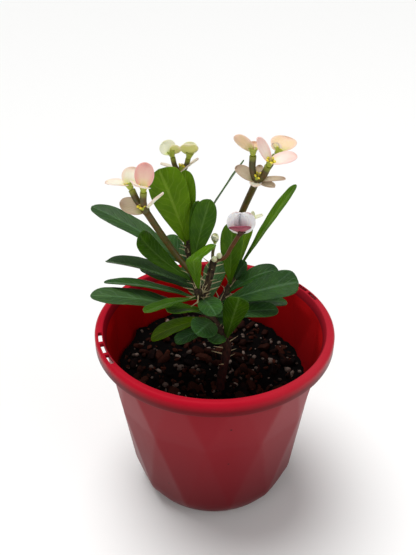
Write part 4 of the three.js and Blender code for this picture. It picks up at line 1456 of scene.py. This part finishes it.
def stone_pattern(seed):
    """A worn pebble, 1 m across."""
    deselect()
    bpy.ops.mesh.primitive_ico_sphere_add(subdivisions=2, radius=0.5)
    pebble = bpy.context.object
    edit(pebble)
    bpy.ops.transform.vertex_random(offset=0.09, seed=seed)
    stretch((1, 0.8, 0.65))
    deselect()
    pebble.data.materials.append(STONE)
    return pattern(smooth(pebble, 50), f"stone_{seed}")


CHIPS = [chip_pattern(seed) for seed in range(5)]
STONES = [stone_pattern(seed) for seed in range(4)]
print("chip:", len(CHIPS[0].data.polygons), "faces; stone:", len(STONES[0].data.polygons))


# %% Scatter them
def lay(flat, place, size, draw, tint, tilt):
    """A copy of a chip or stone, `size` mm long, laid at a place on the mix.

    It is turned at random, tilts by up to `tilt` radians, and sinks in by part of its size.
    """
    piece = copy_of(flat, "laid")
    x, y = place
    turned = (Matrix.Rotation(draw.uniform(0, 2 * math.pi), 4, "Z")
              @ Matrix.Rotation(draw.uniform(-tilt, tilt), 4, "X")
              @ Matrix.Rotation(draw.uniform(-tilt, tilt), 4, "Y"))
    scale = Matrix.Diagonal((size * MM, size * MM * draw.uniform(0.6, 1.1), size * MM, 1))
    at = Vector((x, y, soil_height(x, y) + 0.12 * size)) * MM
    piece.data.transform(Matrix.Translation(at) @ turned @ scale)
    shade = piece.data.attributes.new("tint", "FLOAT", "POINT")
    shade.data.foreach_set("value", [tint] * len(piece.data.vertices))
    return piece


def somewhere(draw, size):
    """A random place on the mix, clear of the wall."""
    azimuth = draw.uniform(0, 2 * math.pi)
    x, y = math.sin(azimuth), -math.cos(azimuth)
    radius = (wall_inside(x, y) - 0.6 * size - 1) * math.sqrt(draw.random())
    return x * radius, y * radius


draw = random.Random(11)
laid = []
HEAPS = (               # what, how many, least and most size, least and most tint, tilt
    (CHIPS, 130, 4, 9, 0.0, 0.7, 0.7), (CHIPS, 420, 1.5, 4.5, 0.0, 1.0, 1.2),
    (STONES, 230, 1.2, 3.2, 0.0, 0.5, 0.8), (STONES, 60, 2.5, 4.5, 0.2, 0.7, 0.8))
for kind, count, least, most, low, high, tilt in HEAPS:
    for _ in range(count):
        size = draw.uniform(least, most)
        flat = draw.choice(kind)
        laid.append(lay(flat, somewhere(draw, size), size, draw, draw.uniform(low, high), tilt))
print("laid:", len(laid))

# %% [markdown]
# A few chips and stones are placed one by one, where the eye rests: broad dark flakes at the
# front and right of the stem, a russet chip, a round pale pebble by the right wall with a heap of
# gravel below it, and some whitish grains at the left. Each has its place and its size in
# millimetres, and its tint.

# %% Place the chips that show
SHOWN_CHIPS = [((-14, -40), 17, 0.25), ((3, -43), 15, 0.2), ((-24, -33), 13, 0.3),
               ((16, -26), 16, 0.3), ((27, -24), 12, 0.15), ((21, -38), 13, 0.35),
               ((-2, -30), 12, 0.2), ((34, -32), 9, 0.9)]
SHOWN_STONES = [((47, -13), 5.5, 1.0), ((50, -20), 5, 0.7), ((46, -24), 5, 0.85),
                ((43, -29), 4.5, 0.7), ((40, -19), 4, 0.6), ((41, -33), 4.5, 0.8),
                ((-21, -22), 3.5, 0.9), ((-17, -24), 3, 0.8), ((-13, -27), 3.2, 0.75),
                ((-28, -29), 3, 0.7), ((9, -38), 3, 0.8), ((13, -47), 3.5, 0.7)]
draw = random.Random(5)
for kind, shown, tilt in ((CHIPS, SHOWN_CHIPS, 0.15), (STONES, SHOWN_STONES, 0.4)):
    laid += [lay(draw.choice(kind), place, size, draw, tint, tilt) for place, size, tint in shown]
mix = join([mix] + laid, "potting_mix_surface")
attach(mix, "root")
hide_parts("potting_mix")
print("potting mix:", len(mix.data.polygons), "faces")

# %% [markdown]
# ## Studio
#
# The floor is a pale sheet, far wider than the view. A soft sun, 40 degrees wide, stands high
# up and a little behind the plant, as a skylight would, so that leaves glow where light comes
# through them. Two weak square lights fill in, one from the front left and one from the right,
# and the world adds an even white.

# %% Floor and lights
deselect()
bpy.ops.mesh.primitive_plane_add(size=8)
floor = bpy.context.object
floor.name = "studio_floor"
paper, _ = new_material("studio_paper", "#FBFBFA", 0.95)
floor.data.materials.append(paper)


def light(name, kind, place, aim, **settings):
    """A light that looks at a point, with its settings."""
    deselect()
    bpy.ops.object.light_add(type=kind, location=place)
    lamp = bpy.context.object
    lamp.name = name
    for key, value in settings.items():
        setattr(lamp.data, key, value)
    way = Vector(aim) - Vector(place)
    lamp.rotation_euler = way.to_track_quat("-Z", "Y").to_euler()


MIX_MIDDLE = (0, 0, 0.1)
light("sky_light", "SUN", (-0.25, 0.3, 1.3), (0, 0, 0), energy=2.4, angle=math.radians(40))
light("front_fill", "AREA", (-0.5, -1.2, 0.9), MIX_MIDDLE, energy=4, size=1.2)
light("right_fill", "AREA", (1.1, -0.7, 0.7), MIX_MIDDLE, energy=3.5, size=1.0)
world = bpy.data.worlds.new("studio_world")
bpy.context.scene.world = world
world.use_nodes = True
backdrop = world.node_tree.nodes["Background"]
backdrop.inputs["Color"].default_value = linear("#FFFFFF")
backdrop.inputs["Strength"].default_value = 0.25
bpy.context.scene.view_settings.view_transform = "Standard"
print("studio lit")

# %% [markdown]
# ## Camera
#
# The camera stands in front of the pot and looks down at it. Its height, distance, tilt and
# lens were fitted to the pot's rim and foot. It is written as metres in front of the pot's
# axis and above the floor, and as angles in radians. The picture is taken as 416 by 555 pixels,
# and the focal length of 700 pixels becomes a lens for a 36 mm sensor along the taller side.

# %% Set the camera
VIEW = dict(back=0.33115, up=0.36189, pitch=0.5728, yaw=-0.0121, roll=0.0049)
FOCAL_PIXELS = 700
PICTURE_HEIGHT = 555
SENSOR = 36              # millimetres

ahead = Vector((math.sin(VIEW["yaw"]) * math.cos(VIEW["pitch"]),
                math.cos(VIEW["yaw"]) * math.cos(VIEW["pitch"]), -math.sin(VIEW["pitch"])))
level = Vector((math.cos(VIEW["yaw"]), -math.sin(VIEW["yaw"]), 0))
above = level.cross(ahead)
right = math.cos(VIEW["roll"]) * level + math.sin(VIEW["roll"]) * above
top = math.cos(VIEW["roll"]) * above - math.sin(VIEW["roll"]) * level
deselect()
bpy.ops.object.camera_add()
camera = bpy.context.object
camera.name = "front_camera"
camera.matrix_world = Matrix.Translation((0, -VIEW["back"], VIEW["up"])) @ Matrix(
    (right, top, -ahead)).transposed().to_4x4()
camera.data.sensor_width = SENSOR
camera.data.lens = FOCAL_PIXELS / PICTURE_HEIGHT * SENSOR
bpy.context.scene.camera = camera
print("lens:", round(camera.data.lens, 1), "mm")

# %% [markdown]
# ## Finish
#
# The patterns have been copied and are removed.

# %% Remove the patterns
deselect()
for model in PATTERNS:
    bpy.data.objects.remove(model)
